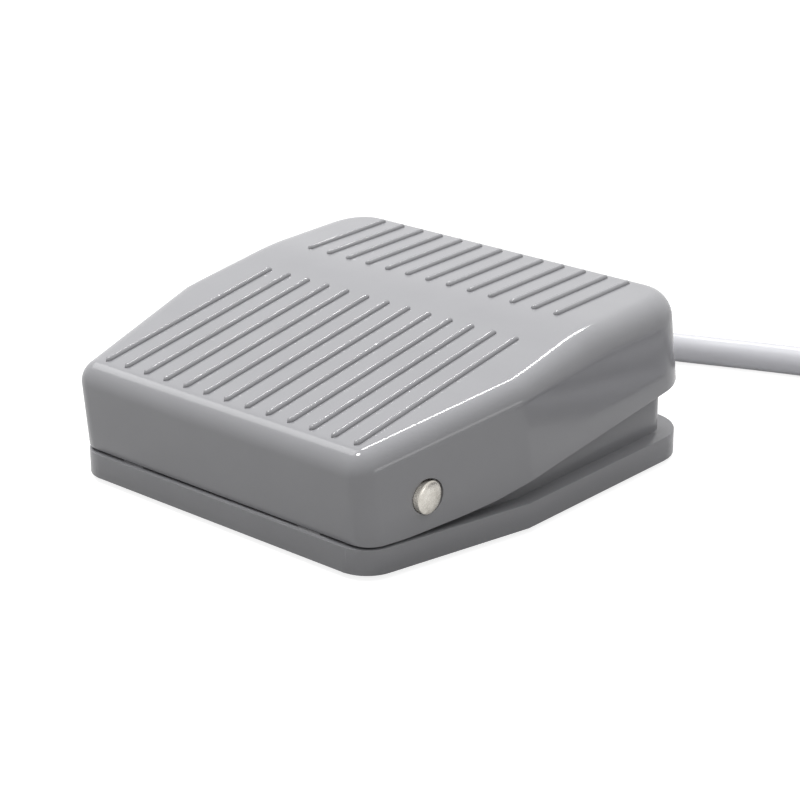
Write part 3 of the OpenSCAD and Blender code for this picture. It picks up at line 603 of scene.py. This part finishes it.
arch.faces.new(list(reversed(near)))
arch.faces.new(far)
for k in range(len(near)):
    n = (k + 1) % len(near)
    arch.faces.new((near[k], near[n], far[n], far[k]))
bmesh.ops.recalc_face_normals(arch, faces=arch.faces)
cutters.append(bmesh_object("cut", arch))
shell_mesh = cut_away(shell_body, cutters)
shell_mesh.transform(raise_pedal)
bpy.data.objects.remove(shell_body)
grey_abs = moulded(
    "grey_abs_pedal", (0.335, 0.335, 0.35), 0.13, grain=0.000003, grain_scale=1800, mottle=0.02, ior=1.53)
pedal_shell = finish_mesh("pedal_shell", shell_mesh, grey_abs, 38)
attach(pedal_shell, "pedal")
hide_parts("pedal")


# ---- Nose and spring spigot under the roof ----
# Two features moulded on the underside of the pedal: a rounded bar that presses the switch's lever,
# and a short post that keeps the spring's upper end in place.
lever_low, lever_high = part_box("switch_lever")
spring_low, spring_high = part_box("return_spring")
switch_x = (lever_low.x + lever_high.x) / 2
nose_y, nose_z = -11.5 * mm, 21.6 * mm
nose_r = 0.8 * mm
under_roof = roof_height(nose_y, roof_thick) + 0.6 * mm
under = [bar_along_x(nose_r, switch_x - 3 * mm, switch_x + 3 * mm, nose_y, nose_z + nose_r, 32)]
under.append(soft_box(
    (switch_x - 3 * mm, nose_y - nose_r, nose_z + nose_r), (switch_x + 3 * mm, nose_y + nose_r, under_roof), 0))
spring_middle = (spring_low + spring_high) / 2
post_r = 4.1 * mm
post = bmesh.new()
post_y = spring_middle.y + 0.9 * mm
post_low = roof_height(post_y, roof_thick) - 4 * mm
bmesh.ops.create_cone(post, cap_ends=True, segments=48, radius1=post_r - 0.4 * mm, radius2=post_r, depth=4.6 * mm)
bmesh.ops.translate(post, vec=(spring_middle.x, post_y, post_low + 2.3 * mm), verts=post.verts)
under.append(post)
under_mesh = join_all(under)
under_mesh.transform(raise_pedal)
pedal_underside = finish_mesh("pedal_underside", under_mesh, grey_abs)
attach(pedal_underside, "pedal")


# ---- Pedal ribs ----
# Thirteen fine anti-slip ribs before the ridge and thirteen behind it, moulded in one with the shell.
# Each is half round, with rounded ends, and stands about 0.65 mm proud.
def named_input(group, name, kind, value):
    socket = group.interface.new_socket(name=name, in_out="INPUT", socket_type=kind)
    if value is not None:
        socket.default_value = value
    return socket


def grow_with(name, tree, values):
    """Runs a node tree on an empty mesh with its inputs set, and keeps the result as a plain mesh."""
    carrier = bpy.data.objects.new(name, bpy.data.meshes.new(name))
    bpy.context.scene.collection.objects.link(carrier)
    grower = carrier.modifiers.new("grow", "NODES")
    grower.node_group = tree
    for item in tree.interface.items_tree:
        if item.in_out == "INPUT" and item.name in values:
            grower[item.identifier] = values[item.name]
    graph = bpy.context.evaluated_depsgraph_get()
    mesh = bpy.data.meshes.new_from_object(carrier.evaluated_get(graph))
    carrier.modifiers.clear()
    bpy.data.objects.remove(carrier)
    return mesh


rib_tree = bpy.data.node_groups.new("rib_row", "GeometryNodeTree")
named_input(rib_tree, "Count", "NodeSocketInt", 13)
named_input(rib_tree, "Pitch", "NodeSocketFloat", 0.0051)
named_input(rib_tree, "Start", "NodeSocketVector", (0, 0, 0))
named_input(rib_tree, "Slope", "NodeSocketFloat", 0.0)
named_input(rib_tree, "Length", "NodeSocketFloat", 0.04)
named_input(rib_tree, "Radius", "NodeSocketFloat", 0.00065)
named_input(rib_tree, "Material", "NodeSocketMaterial", None)
rib_tree.interface.new_socket(name="Geometry", in_out="OUTPUT", socket_type="NodeSocketGeometry")
inputs = rib_tree.nodes.new("NodeGroupInput")
result = rib_tree.nodes.new("NodeGroupOutput")


def wire(tree, source, target):
    tree.links.new(source, target)


def maths(tree, kind, a, b):
    made = tree.nodes.new("ShaderNodeMath")
    made.operation = kind
    for socket, value in zip(made.inputs, (a, b)):
        if isinstance(value, bpy.types.NodeSocket):
            tree.links.new(value, socket)
        else:
            socket.default_value = value
    return made.outputs[0]


# a straight line of points, as long as the rib, is swept with a circle whose size dies away at the ends
steps = 64
line = rib_tree.nodes.new("GeometryNodeCurvePrimitiveLine")
spot = rib_tree.nodes.new("ShaderNodeCombineXYZ")
wire(rib_tree, inputs.outputs["Length"], spot.inputs["Y"])
wire(rib_tree, spot.outputs[0], line.inputs["End"])
points = rib_tree.nodes.new("GeometryNodeResampleCurve")
points.inputs["Count"].default_value = steps
wire(rib_tree, line.outputs["Curve"], points.inputs["Curve"])
along = rib_tree.nodes.new("GeometryNodeSplineParameter")
back_of_end = maths(rib_tree, "SUBTRACT", inputs.outputs["Length"], along.outputs["Length"])
nearest = maths(rib_tree, "MINIMUM", along.outputs["Length"], back_of_end)
share = maths(rib_tree, "DIVIDE", nearest, inputs.outputs["Radius"])
inside = maths(rib_tree, "SUBTRACT", 1.0, maths(rib_tree, "MINIMUM", share, 1.0))
squared = maths(rib_tree, "SUBTRACT", 1.0, maths(rib_tree, "MULTIPLY", inside, inside))
height = maths(rib_tree, "SQRT", maths(rib_tree, "MAXIMUM", squared, 0.0), 0.0)
size = rib_tree.nodes.new("GeometryNodeSetCurveRadius")
wire(rib_tree, points.outputs["Curve"], size.inputs["Curve"])
wire(rib_tree, height, size.inputs["Radius"])
ring = rib_tree.nodes.new("GeometryNodeCurvePrimitiveCircle")
ring.inputs["Resolution"].default_value = 20
wire(rib_tree, inputs.outputs["Radius"], ring.inputs["Radius"])
tube = rib_tree.nodes.new("GeometryNodeCurveToMesh")
wire(rib_tree, size.outputs["Curve"], tube.inputs["Curve"])
wire(rib_tree, ring.outputs["Curve"], tube.inputs["Profile Curve"])
if "Scale" in tube.inputs:
    wire(rib_tree, height, tube.inputs["Scale"])
tube.inputs["Fill Caps"].default_value = True
row = rib_tree.nodes.new("GeometryNodeMeshLine")
row.mode = "OFFSET"
offset = rib_tree.nodes.new("ShaderNodeCombineXYZ")
wire(rib_tree, inputs.outputs["Pitch"], offset.inputs["X"])
wire(rib_tree, inputs.outputs["Count"], row.inputs["Count"])
wire(rib_tree, inputs.outputs["Start"], row.inputs["Start Location"])
wire(rib_tree, offset.outputs[0], row.inputs["Offset"])
tilt = rib_tree.nodes.new("ShaderNodeCombineXYZ")
wire(rib_tree, inputs.outputs["Slope"], tilt.inputs["X"])
copies = rib_tree.nodes.new("GeometryNodeInstanceOnPoints")
wire(rib_tree, row.outputs["Mesh"], copies.inputs["Points"])
wire(rib_tree, tube.outputs["Mesh"], copies.inputs["Instance"])
wire(rib_tree, tilt.outputs[0], copies.inputs["Rotation"])
real = rib_tree.nodes.new("GeometryNodeRealizeInstances")
wire(rib_tree, copies.outputs["Instances"], real.inputs["Geometry"])
finish = rib_tree.nodes.new("GeometryNodeSetMaterial")
wire(rib_tree, real.outputs["Geometry"], finish.inputs["Geometry"])
wire(rib_tree, inputs.outputs["Material"], finish.inputs["Material"])
wire(rib_tree, finish.outputs["Geometry"], result.inputs["Geometry"])

rib_count = 13
rib_pitch = 5.1 * mm
rib_r = 0.65 * mm
front_slope = math.atan((roof_ridge - roof_front) / ridge_back)
rear_slope = math.atan((roof_rear - roof_ridge) / (rear - front - ridge_back))
rib_rows = []
for back, length, slope in ((5 * mm, 42.8 * mm, front_slope), (59.6 * mm, 21.4 * mm, rear_slope)):
    start = (
        -(rib_count - 1) / 2 * rib_pitch, front + back - rib_r, roof_height(front + back) - rib_r * math.tan(slope))
    mesh = grow_with("ribs", rib_tree, {
        "Count": rib_count, "Pitch": rib_pitch, "Start": start, "Slope": slope,
        "Length": length + 2 * rib_r, "Radius": rib_r, "Material": grey_abs})
    part = bmesh.new()
    part.from_mesh(mesh)
    bmesh.ops.remove_doubles(part, verts=part.verts, dist=1e-6)
    rib_rows.append(part)
rib_mesh = join_all(rib_rows)
rib_mesh.transform(raise_pedal)
pedal_ribs = finish_mesh("pedal_ribs", rib_mesh, grey_abs, 60)
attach(pedal_ribs, "pedal")


# ---- Moulded base ----
# A flat ABS plate with a softened rim and, set in from it, the low wall of the tray that holds the switch.
# Bosses, posts and the switch's bracket grow from its floor in the same moulding.
base_copy = bmesh.new()
base_copy.from_mesh(frame["nodes"]["base"].data)
bmesh.ops.remove_doubles(base_copy, verts=base_copy.verts, dist=2e-6)
bmesh.ops.dissolve_limit(
    base_copy, angle_limit=math.radians(0.4), verts=base_copy.verts, edges=base_copy.edges, delimit={"NORMAL"})
for vert in base_copy.verts:
    on_pad = plate_top + 0.1 * mm < vert.co.z < plate_top + 0.6 * mm and vert.co.y < front + 4 * mm
    if on_pad:
        vert.co.z = plate_top + 0.29 * mm
rim_levels = (base_low.z, plate_top)
wall_crest = base_high.z


def on_rim(edge):
    """Edges of the plate's outline, top and bottom, and of the tray wall's crest."""
    if len(edge.link_faces) != 2:
        return False
    a, b = edge.verts[0].co, edge.verts[1].co
    if abs(a.z - b.z) > 1e-5 or edge.calc_face_angle(0) < math.radians(60):
        return False
    middle = (a + b) / 2
    side = next((f for f in edge.link_faces if abs(f.normal.z) < 0.1), None)
    if side is None:
        return False
    back = middle.y - front
    widest = min(side_at(back, 0), half_wide)
    near_side = abs(abs(middle.x) - widest) < 0.4 * mm
    near_end = middle.y < front + front_round or middle.y > rear - rear_round
    outer_edge = near_side or (near_end and (
        middle.y < front + 0.01 * mm or middle.y > rear - 0.01 * mm or abs(middle.x) > widest - 4 * mm))
    if any(abs(middle.z - level) < 0.05 * mm for level in rim_levels) and outer_edge:
        return True
    return abs(middle.z - wall_crest) < 0.05 * mm


rim = [e for e in base_copy.edges if on_rim(e)]
bmesh.ops.bevel(base_copy, geom=rim, offset=0.28 * mm, segments=3, affect="EDGES", profile=0.5, clamp_overlap=True)
base_mesh = bpy.data.meshes.new("base")
base_copy.to_mesh(base_mesh)
base_copy.free()
grey_abs_base = moulded(
    "grey_abs_base", (0.29, 0.29, 0.303), 0.22, grain=0.00001, grain_scale=1800, mottle=0.02, ior=1.53)
base_moulding = finish_mesh("base_moulding", base_mesh, grey_abs_base, 34)
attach(base_moulding, "housing")
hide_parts("base")


# ---- Hinge pins ----
# Two short nickel-plated steel pins pressed in from the sides; the pedal turns on them.
# Their domed ends are tumbled, so they carry small dents and scratches.
def lathe(profile, sides=72):
    """Solid turned about +Z from (radius, height) pairs, which start and end on the axis or close on themselves."""
    turned = bmesh.new()
    rings = []
    for radius, height in profile:
        if radius < 1e-9:
            rings.append([turned.verts.new((0, 0, height))])
        else:
            rings.append([turned.verts.new((
                radius * math.cos(2 * math.pi * k / sides), radius * math.sin(2 * math.pi * k / sides), height,
            )) for k in range(sides)])
    pairs = list(zip(rings, rings[1:]))
    if len(rings[0]) > 1 and len(rings[-1]) > 1:
        pairs.append((rings[-1], rings[0]))
    for a, b in pairs:
        for k in range(sides):
            n = (k + 1) % sides
            if len(a) == 1:
                turned.faces.new((a[0], b[k], b[n]))
            elif len(b) == 1:
                turned.faces.new((a[k], b[0], a[n]))
            else:
                turned.faces.new((a[k], b[k], b[n], a[n]))
    return turned


nickel = metal(
    "nickel_plate", (0.50, 0.47, 0.42), (0.80, 0.77, 0.71), 0.16, scratch=0.22, scale=500, bump_depth=0.00003)
pin_low, pin_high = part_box("hinge_pins")
pin_r = (pin_high.z - pin_low.z) / 2
pin_inner = pin_high.x - 11.3 * mm
dome_high = 0.5 * mm
pin_tip = pin_side + pin_r * math.tan(flare) + 0.2 * mm
dome = [(pin_r * math.sin(math.radians(a)), pin_tip - dome_high * (1 - math.cos(math.radians(a))))
        for a in range(0, 91, 6)]
pin_profile = [(0, pin_inner), (pin_r - 0.4 * mm, pin_inner), (pin_r, pin_inner + 0.4 * mm)]
pin_profile += list(reversed(dome))
pin_parts = []
for side in (1, -1):
    turned = lathe(pin_profile, 64)
    turn = Matrix.Rotation(side * math.pi / 2, 4, "Y")
    place = Matrix.Translation((0, hinge_point.y, hinge_point.z))
    bmesh.ops.transform(turned, matrix=place @ turn, verts=turned.verts)
    pin_parts.append(turned)
pins = finish_mesh("nickel_pins", join_all(pin_parts), nickel, 45)
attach(pins, "housing")
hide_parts("hinge_pins")


# ---- Rubber feet ----
# Four black rubber discs stuck in shallow recesses under the base.
# Their lower rims are rounded from wear.
foot_low, foot_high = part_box("rubber_feet")
feet_tree = bpy.data.node_groups.new("rubber_feet", "GeometryNodeTree")
named_input(feet_tree, "Radius", "NodeSocketFloat", 0.005)
named_input(feet_tree, "Height", "NodeSocketFloat", 0.0016)
named_input(feet_tree, "Round", "NodeSocketFloat", 0.0004)
named_input(feet_tree, "Front spread", "NodeSocketFloat", 0.05)
named_input(feet_tree, "Rear spread", "NodeSocketFloat", 0.05)
named_input(feet_tree, "Front", "NodeSocketFloat", -0.03)
named_input(feet_tree, "Rear", "NodeSocketFloat", 0.03)
named_input(feet_tree, "Material", "NodeSocketMaterial", None)
feet_tree.interface.new_socket(name="Geometry", in_out="OUTPUT", socket_type="NodeSocketGeometry")
inputs = feet_tree.nodes.new("NodeGroupInput")
result = feet_tree.nodes.new("NodeGroupOutput")


def disc_layer(tree, radius, height, lift):
    """Cylinder of the tree's size, its foot at the given height."""
    layer = tree.nodes.new("GeometryNodeMeshCylinder")
    layer.inputs["Vertices"].default_value = 64
    wire(tree, radius, layer.inputs["Radius"])
    wire(tree, height, layer.inputs["Depth"])
    place = tree.nodes.new("ShaderNodeCombineXYZ")
    wire(tree, maths(tree, "ADD", maths(tree, "MULTIPLY", height, 0.5), lift), place.inputs["Z"])
    put = tree.nodes.new("GeometryNodeTransform")
    wire(tree, layer.outputs["Mesh"], put.inputs["Geometry"])
    wire(tree, place.outputs[0], put.inputs["Translation"])
    return put.outputs["Geometry"]


profile_points = []
rim_steps = 5
for i in range(rim_steps + 1):
    turn = math.radians(90 * i / rim_steps)
    out = maths(feet_tree, "MULTIPLY", inputs.outputs["Round"], math.sin(turn) - 1)
    up = maths(feet_tree, "MULTIPLY", inputs.outputs["Round"], 1 - math.cos(turn))
    profile_points.append((maths(feet_tree, "ADD", inputs.outputs["Radius"], out), up))
layers = feet_tree.nodes.new("GeometryNodeJoinGeometry")
last_up = profile_points[-1][1]
for radius, up in profile_points[:-1]:
    tall = maths(feet_tree, "SUBTRACT", inputs.outputs["Height"], up)
    wire(feet_tree, disc_layer(feet_tree, radius, tall, up), layers.inputs["Geometry"])
tall = maths(feet_tree, "SUBTRACT", inputs.outputs["Height"], last_up)
wire(feet_tree, disc_layer(feet_tree, inputs.outputs["Radius"], tall, last_up), layers.inputs["Geometry"])
all_feet = feet_tree.nodes.new("GeometryNodeJoinGeometry")
for spread_name, end_name in (("Front spread", "Front"), ("Rear spread", "Rear")):
    for sign in (1, -1):
        place = feet_tree.nodes.new("ShaderNodeCombineXYZ")
        wire(feet_tree, maths(feet_tree, "MULTIPLY", inputs.outputs[spread_name], sign), place.inputs["X"])
        wire(feet_tree, inputs.outputs[end_name], place.inputs["Y"])
        put = feet_tree.nodes.new("GeometryNodeTransform")
        wire(feet_tree, layers.outputs["Geometry"], put.inputs["Geometry"])
        wire(feet_tree, place.outputs[0], put.inputs["Translation"])
        wire(feet_tree, put.outputs["Geometry"], all_feet.inputs["Geometry"])
real = feet_tree.nodes.new("GeometryNodeRealizeInstances")
wire(feet_tree, all_feet.outputs["Geometry"], real.inputs["Geometry"])
finish = feet_tree.nodes.new("GeometryNodeSetMaterial")
wire(feet_tree, real.outputs["Geometry"], finish.inputs["Geometry"])
wire(feet_tree, inputs.outputs["Material"], finish.inputs["Material"])
wire(feet_tree, finish.outputs["Geometry"], result.inputs["Geometry"])
foot_r = 5 * mm
black_rubber = moulded("black_rubber", (0.025, 0.025, 0.026), 0.62, grain=0.00003, grain_scale=1400, mottle=0.12)
foot_verts = [v.co for v in frame["nodes"]["rubber_feet"].data.vertices]
front_most = min(v.y for v in foot_verts) + foot_r
rear_most = max(v.y for v in foot_verts) - foot_r
front_x = max(v.x for v in foot_verts if v.y < 0) - foot_r
rear_x = max(v.x for v in foot_verts if v.y > 0) - foot_r
feet_mesh = grow_with("feet", feet_tree, {
    "Radius": foot_r, "Height": foot_high.z - foot_low.z, "Round": 0.4 * mm, "Front spread": front_x,
    "Rear spread": rear_x, "Front": front_most, "Rear": rear_most, "Material": black_rubber})
feet = finish_mesh("rubber_discs", feet_mesh, black_rubber, 40)
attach(feet, "housing")
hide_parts("rubber_feet")


# ---- Grommet ----
# A soft PVC grommet grips the tray's rear wall in a groove and runs out as a boot along the cable.
# Rings are moulded round the boot; it is drawn straight and does not bend.
soft_pvc = moulded("soft_pvc", (0.24, 0.24, 0.255), 0.45, grain=0.000015, grain_scale=1600)
grommet_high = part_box("cable_grommet")[1]
wall_back = 39.3 * mm
wall_t = 1.8 * mm
cable_r = cable_across / 2
neck_r = cable_r + 1.3 * mm
boot_long = grommet_high.y - wall_back
bore = cable_r + 0.03 * mm
flange = neck_r + 1 * mm
collar = neck_r + 0.3 * mm
boot = [
    (bore, -wall_t - 1.4 * mm), (flange - 0.2 * mm, -wall_t - 1.4 * mm), (flange, -wall_t - 1.2 * mm),
    (flange, -wall_t), (neck_r - 0.02 * mm, -wall_t), (neck_r - 0.02 * mm, 0), (collar - 0.15 * mm, 0),
    (collar, 0.15 * mm), (collar, 1.1 * mm),
    (neck_r - 0.15 * mm, 1.6 * mm),
]
for i in range(4):
    at = (3 + i * 2.6) * mm
    r = neck_r - (0.15 + i * 0.14) * mm
    boot += [(r, at), (r, at + 1.3 * mm), (r - 0.15 * mm, at + 1.5 * mm), (r - 0.5 * mm, at + 1.6 * mm),
             (r - 0.5 * mm, at + 2.45 * mm), (r - 0.3 * mm, at + 2.6 * mm)]
boot += [(cable_r + 0.5 * mm, boot_long - 0.2 * mm), (cable_r + 0.35 * mm, boot_long), (bore, boot_long)]
grommet_part = lathe(boot, 72)
bmesh.ops.transform(
    grommet_part, verts=grommet_part.verts,
    matrix=Matrix.Translation((0, wall_back, cable_height)) @ Matrix.Rotation(-math.pi / 2, 4, "X"))
grommet = finish_mesh("boot_grommet", join_all([grommet_part]), soft_pvc, 40)
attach(grommet, "housing")
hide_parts("cable_grommet")


# ---- Screws ----
# Two long screws hold the switch to its bracket, and two short ones hold the cable clamp.
# Zinc-plated pan heads with a crossed slot.
zinc = metal("zinc_plate", (0.48, 0.49, 0.50), (0.66, 0.67, 0.69), 0.26, scale=700)
bright_steel = metal("bright_steel", (0.60, 0.61, 0.62), (0.74, 0.75, 0.76), 0.22, scale=350, stretch=(1, 14, 1))
spring_wire = metal("spring_wire", (0.50, 0.51, 0.53), (0.66, 0.67, 0.69), 0.24, scale=900)
brass = metal("stamped_brass", (0.66, 0.46, 0.18), (0.80, 0.60, 0.28), 0.24, scale=350, stretch=(1, 10, 1))
copper_strip = metal("copper_strip", (0.70, 0.40, 0.22), (0.82, 0.52, 0.32), 0.26, scale=350, stretch=(1, 10, 1))
silver = metal("silver_contact", (0.72, 0.71, 0.68), (0.86, 0.85, 0.82), 0.3, scale=900)


def dress(names, material):
    """Gives CAD nodes their finish."""
    for name in names:
        slots = frame["nodes"][name].data.materials
        slots.clear()
        slots.append(material)


dress(["switch_screws", "clamp_screws"], zinc)


# ---- Snap-action switch ----
# A black thermoset case and cover around a red plunger, a copper blade and its silver contacts.
# A stainless lever turns on a pin above the plunger, and brass tabs stand out at both ends.
black_case = moulded("black_thermoset", (0.022, 0.022, 0.024), 0.42, grain=0.00003, grain_scale=1500, mottle=0.1)
grey_cover = moulded("grey_thermoset", (0.04, 0.04, 0.043), 0.46, grain=0.00003, grain_scale=1500, mottle=0.1)
red_plunger = moulded("red_nylon", (0.42, 0.03, 0.025), 0.34, ior=1.53)
dress(["switch_case"], black_case)
dress(["switch_cover"], grey_cover)
dress(["switch_plunger"], red_plunger)
dress(["switch_lever"], bright_steel)
dress(["lever_pin"], zinc)
dress(["common_terminal", "open_terminal", "closed_terminal"], brass)
dress(["contact_blade"], copper_strip)
dress(["moving_contact"], silver)


# ---- Return spring ----
# A coil of drawn steel wire between the tray's floor and the roof lifts the pedal.
# The first and last turns lie flat; the coil is drawn at one length and does not shorten as the pedal goes down.
wire_r = 0.6 * mm
turns, turn_points, flat_turns = 7, 40, 0.8
coil_radius = (spring_high.x - spring_low.x) / 2 - wire_r
coil_rise = spring_high.z - spring_low.z - 2 * wire_r
spring_line = []
for step in range(turns * turn_points + 1):
    turn = step / turn_points
    climbed = min(max(turn - flat_turns, 0) / (turns - 2 * flat_turns), 1)
    angle = 2 * math.pi * turn
    spring_line.append(Vector((
        spring_middle.x + coil_radius * math.cos(angle), spring_middle.y + coil_radius * math.sin(angle),
        spring_low.z + wire_r + coil_rise * climbed)))
spring_tube = sweep(spring_line, [wire_r] * len(spring_line), 16)
spring = finish_mesh("coil_spring", join_all([spring_tube]), spring_wire, 40)
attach(spring, "housing")
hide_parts("return_spring")
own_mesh(spring)


# ---- Cable inside the tray ----
# The jacket passes the grommet and a screwed-down clamp bar, and its three cores run on to the switch's tabs.
dress(["cable_entry"], light_grey_pvc)
dress(["cable_clamp"], grey_abs_base)
dress(["common_core"], brown_core)
dress(["open_core"], blue_core)
dress(["closed_core"], black_core)


# ---- Floor, world and lamps ----
# A seamless white table in a white tent. A lamp behind draws the bright line on the right shoulder, one above
# lights the roof and the corners, and soft ones at the left and right fill the front and the straight side.
floor = bmesh.new()
bmesh.ops.create_grid(floor, x_segments=1, y_segments=1, size=6)
floor_object = bmesh_object("floor", floor)
floor_skin = bpy.data.materials.new("white_table")
floor_skin.use_nodes = True
tree = floor_skin.node_tree


def seen_plainly(tree, rays):
    """One for the rays that look at a thing or mirror it, and none for those that only light it."""
    looked = maths(tree, "MAXIMUM", rays.outputs["Is Camera Ray"], rays.outputs["Is Glossy Ray"])
    return maths(tree, "MAXIMUM", looked, rays.outputs["Is Transmission Ray"])


matt = tree.nodes["Principled BSDF"]
matt.inputs["Base Color"].default_value = (0.42, 0.42, 0.42, 1)
matt.inputs["Roughness"].default_value = 0.9
matt.inputs["Specular IOR Level"].default_value = 0.0
glow = node(tree, "ShaderNodeEmission")
rays = tree.nodes.new("ShaderNodeLightPath")
table_glow = maths(tree, "ADD", maths(tree, "MULTIPLY", rays.outputs["Is Camera Ray"], 0.45), 0.4)
wire(tree, table_glow, glow.inputs["Strength"])
seen = seen_plainly(tree, rays)
both = tree.nodes.new("ShaderNodeAddShader")
pick = tree.nodes.new("ShaderNodeMixShader")
wire(tree, matt.outputs[0], both.inputs[0])
wire(tree, glow.outputs[0], both.inputs[1])
wire(tree, seen, pick.inputs[0])
wire(tree, matt.outputs[0], pick.inputs[1])
wire(tree, both.outputs[0], pick.inputs[2])
wire(tree, pick.outputs[0], tree.nodes["Material Output"].inputs["Surface"])
floor_object.data.materials.append(floor_skin)

world = bpy.data.worlds.new("studio")
bpy.context.scene.world = world
world.use_nodes = True
tree = world.node_tree
tent = tree.nodes["Background"]
tent.inputs["Color"].default_value = (1, 1, 1, 1)
rays = tree.nodes.new("ShaderNodeLightPath")
seen = seen_plainly(tree, rays)
direction = tree.nodes.new("ShaderNodeTexCoord")
split = tree.nodes.new("ShaderNodeSeparateXYZ")
wire(tree, direction.outputs["Generated"], split.inputs[0])
ceiling = tree.nodes.new("ShaderNodeMapRange")
ceiling.interpolation_type = "SMOOTHSTEP"
for name, value in (("From Min", 0.3), ("From Max", 0.9), ("To Min", 0.0), ("To Max", 1.2)):
    ceiling.inputs[name].default_value = value
wire(tree, split.outputs["Z"], ceiling.inputs["Value"])
unseen = maths(tree, "SUBTRACT", 1.0, seen)
lighting = maths(tree, "MULTIPLY", unseen, ceiling.outputs["Result"])
wire(tree, maths(tree, "ADD", lighting, seen), tent.inputs["Strength"])


def softbox(name, towards, away, wide, high, watts, roll=0):
    lamp = bpy.data.lights.new(name, "AREA")
    lamp.shape = "RECTANGLE"
    lamp.size = wide
    lamp.size_y = high
    lamp.energy = watts
    made = bpy.data.objects.new(name, lamp)
    made.location = Vector(towards).normalized() * away + Vector((0, 0, 0.02))
    turned = Vector(towards).to_track_quat("Z", "Y").to_matrix() @ Matrix.Rotation(math.radians(roll), 3, "Z")
    made.rotation_euler = turned.to_euler()
    bpy.context.scene.collection.objects.link(made)


softbox("back_lamp", (-0.37, 0.52, 0.75), 0.9, 0.36, 0.045, 1.9, roll=32)
softbox("top_lamp", (-0.30, -0.12, 0.95), 1.0, 0.16, 0.16, 4.0)
softbox("left_lamp", (-0.66, -0.05, 0.75), 0.9, 0.4, 0.4, 1.2)
softbox("side_lamp", (0.95, 0.20, 0.02), 1.2, 0.4, 0.3, 0.7)
bpy.context.scene.view_settings.view_transform = "Standard"
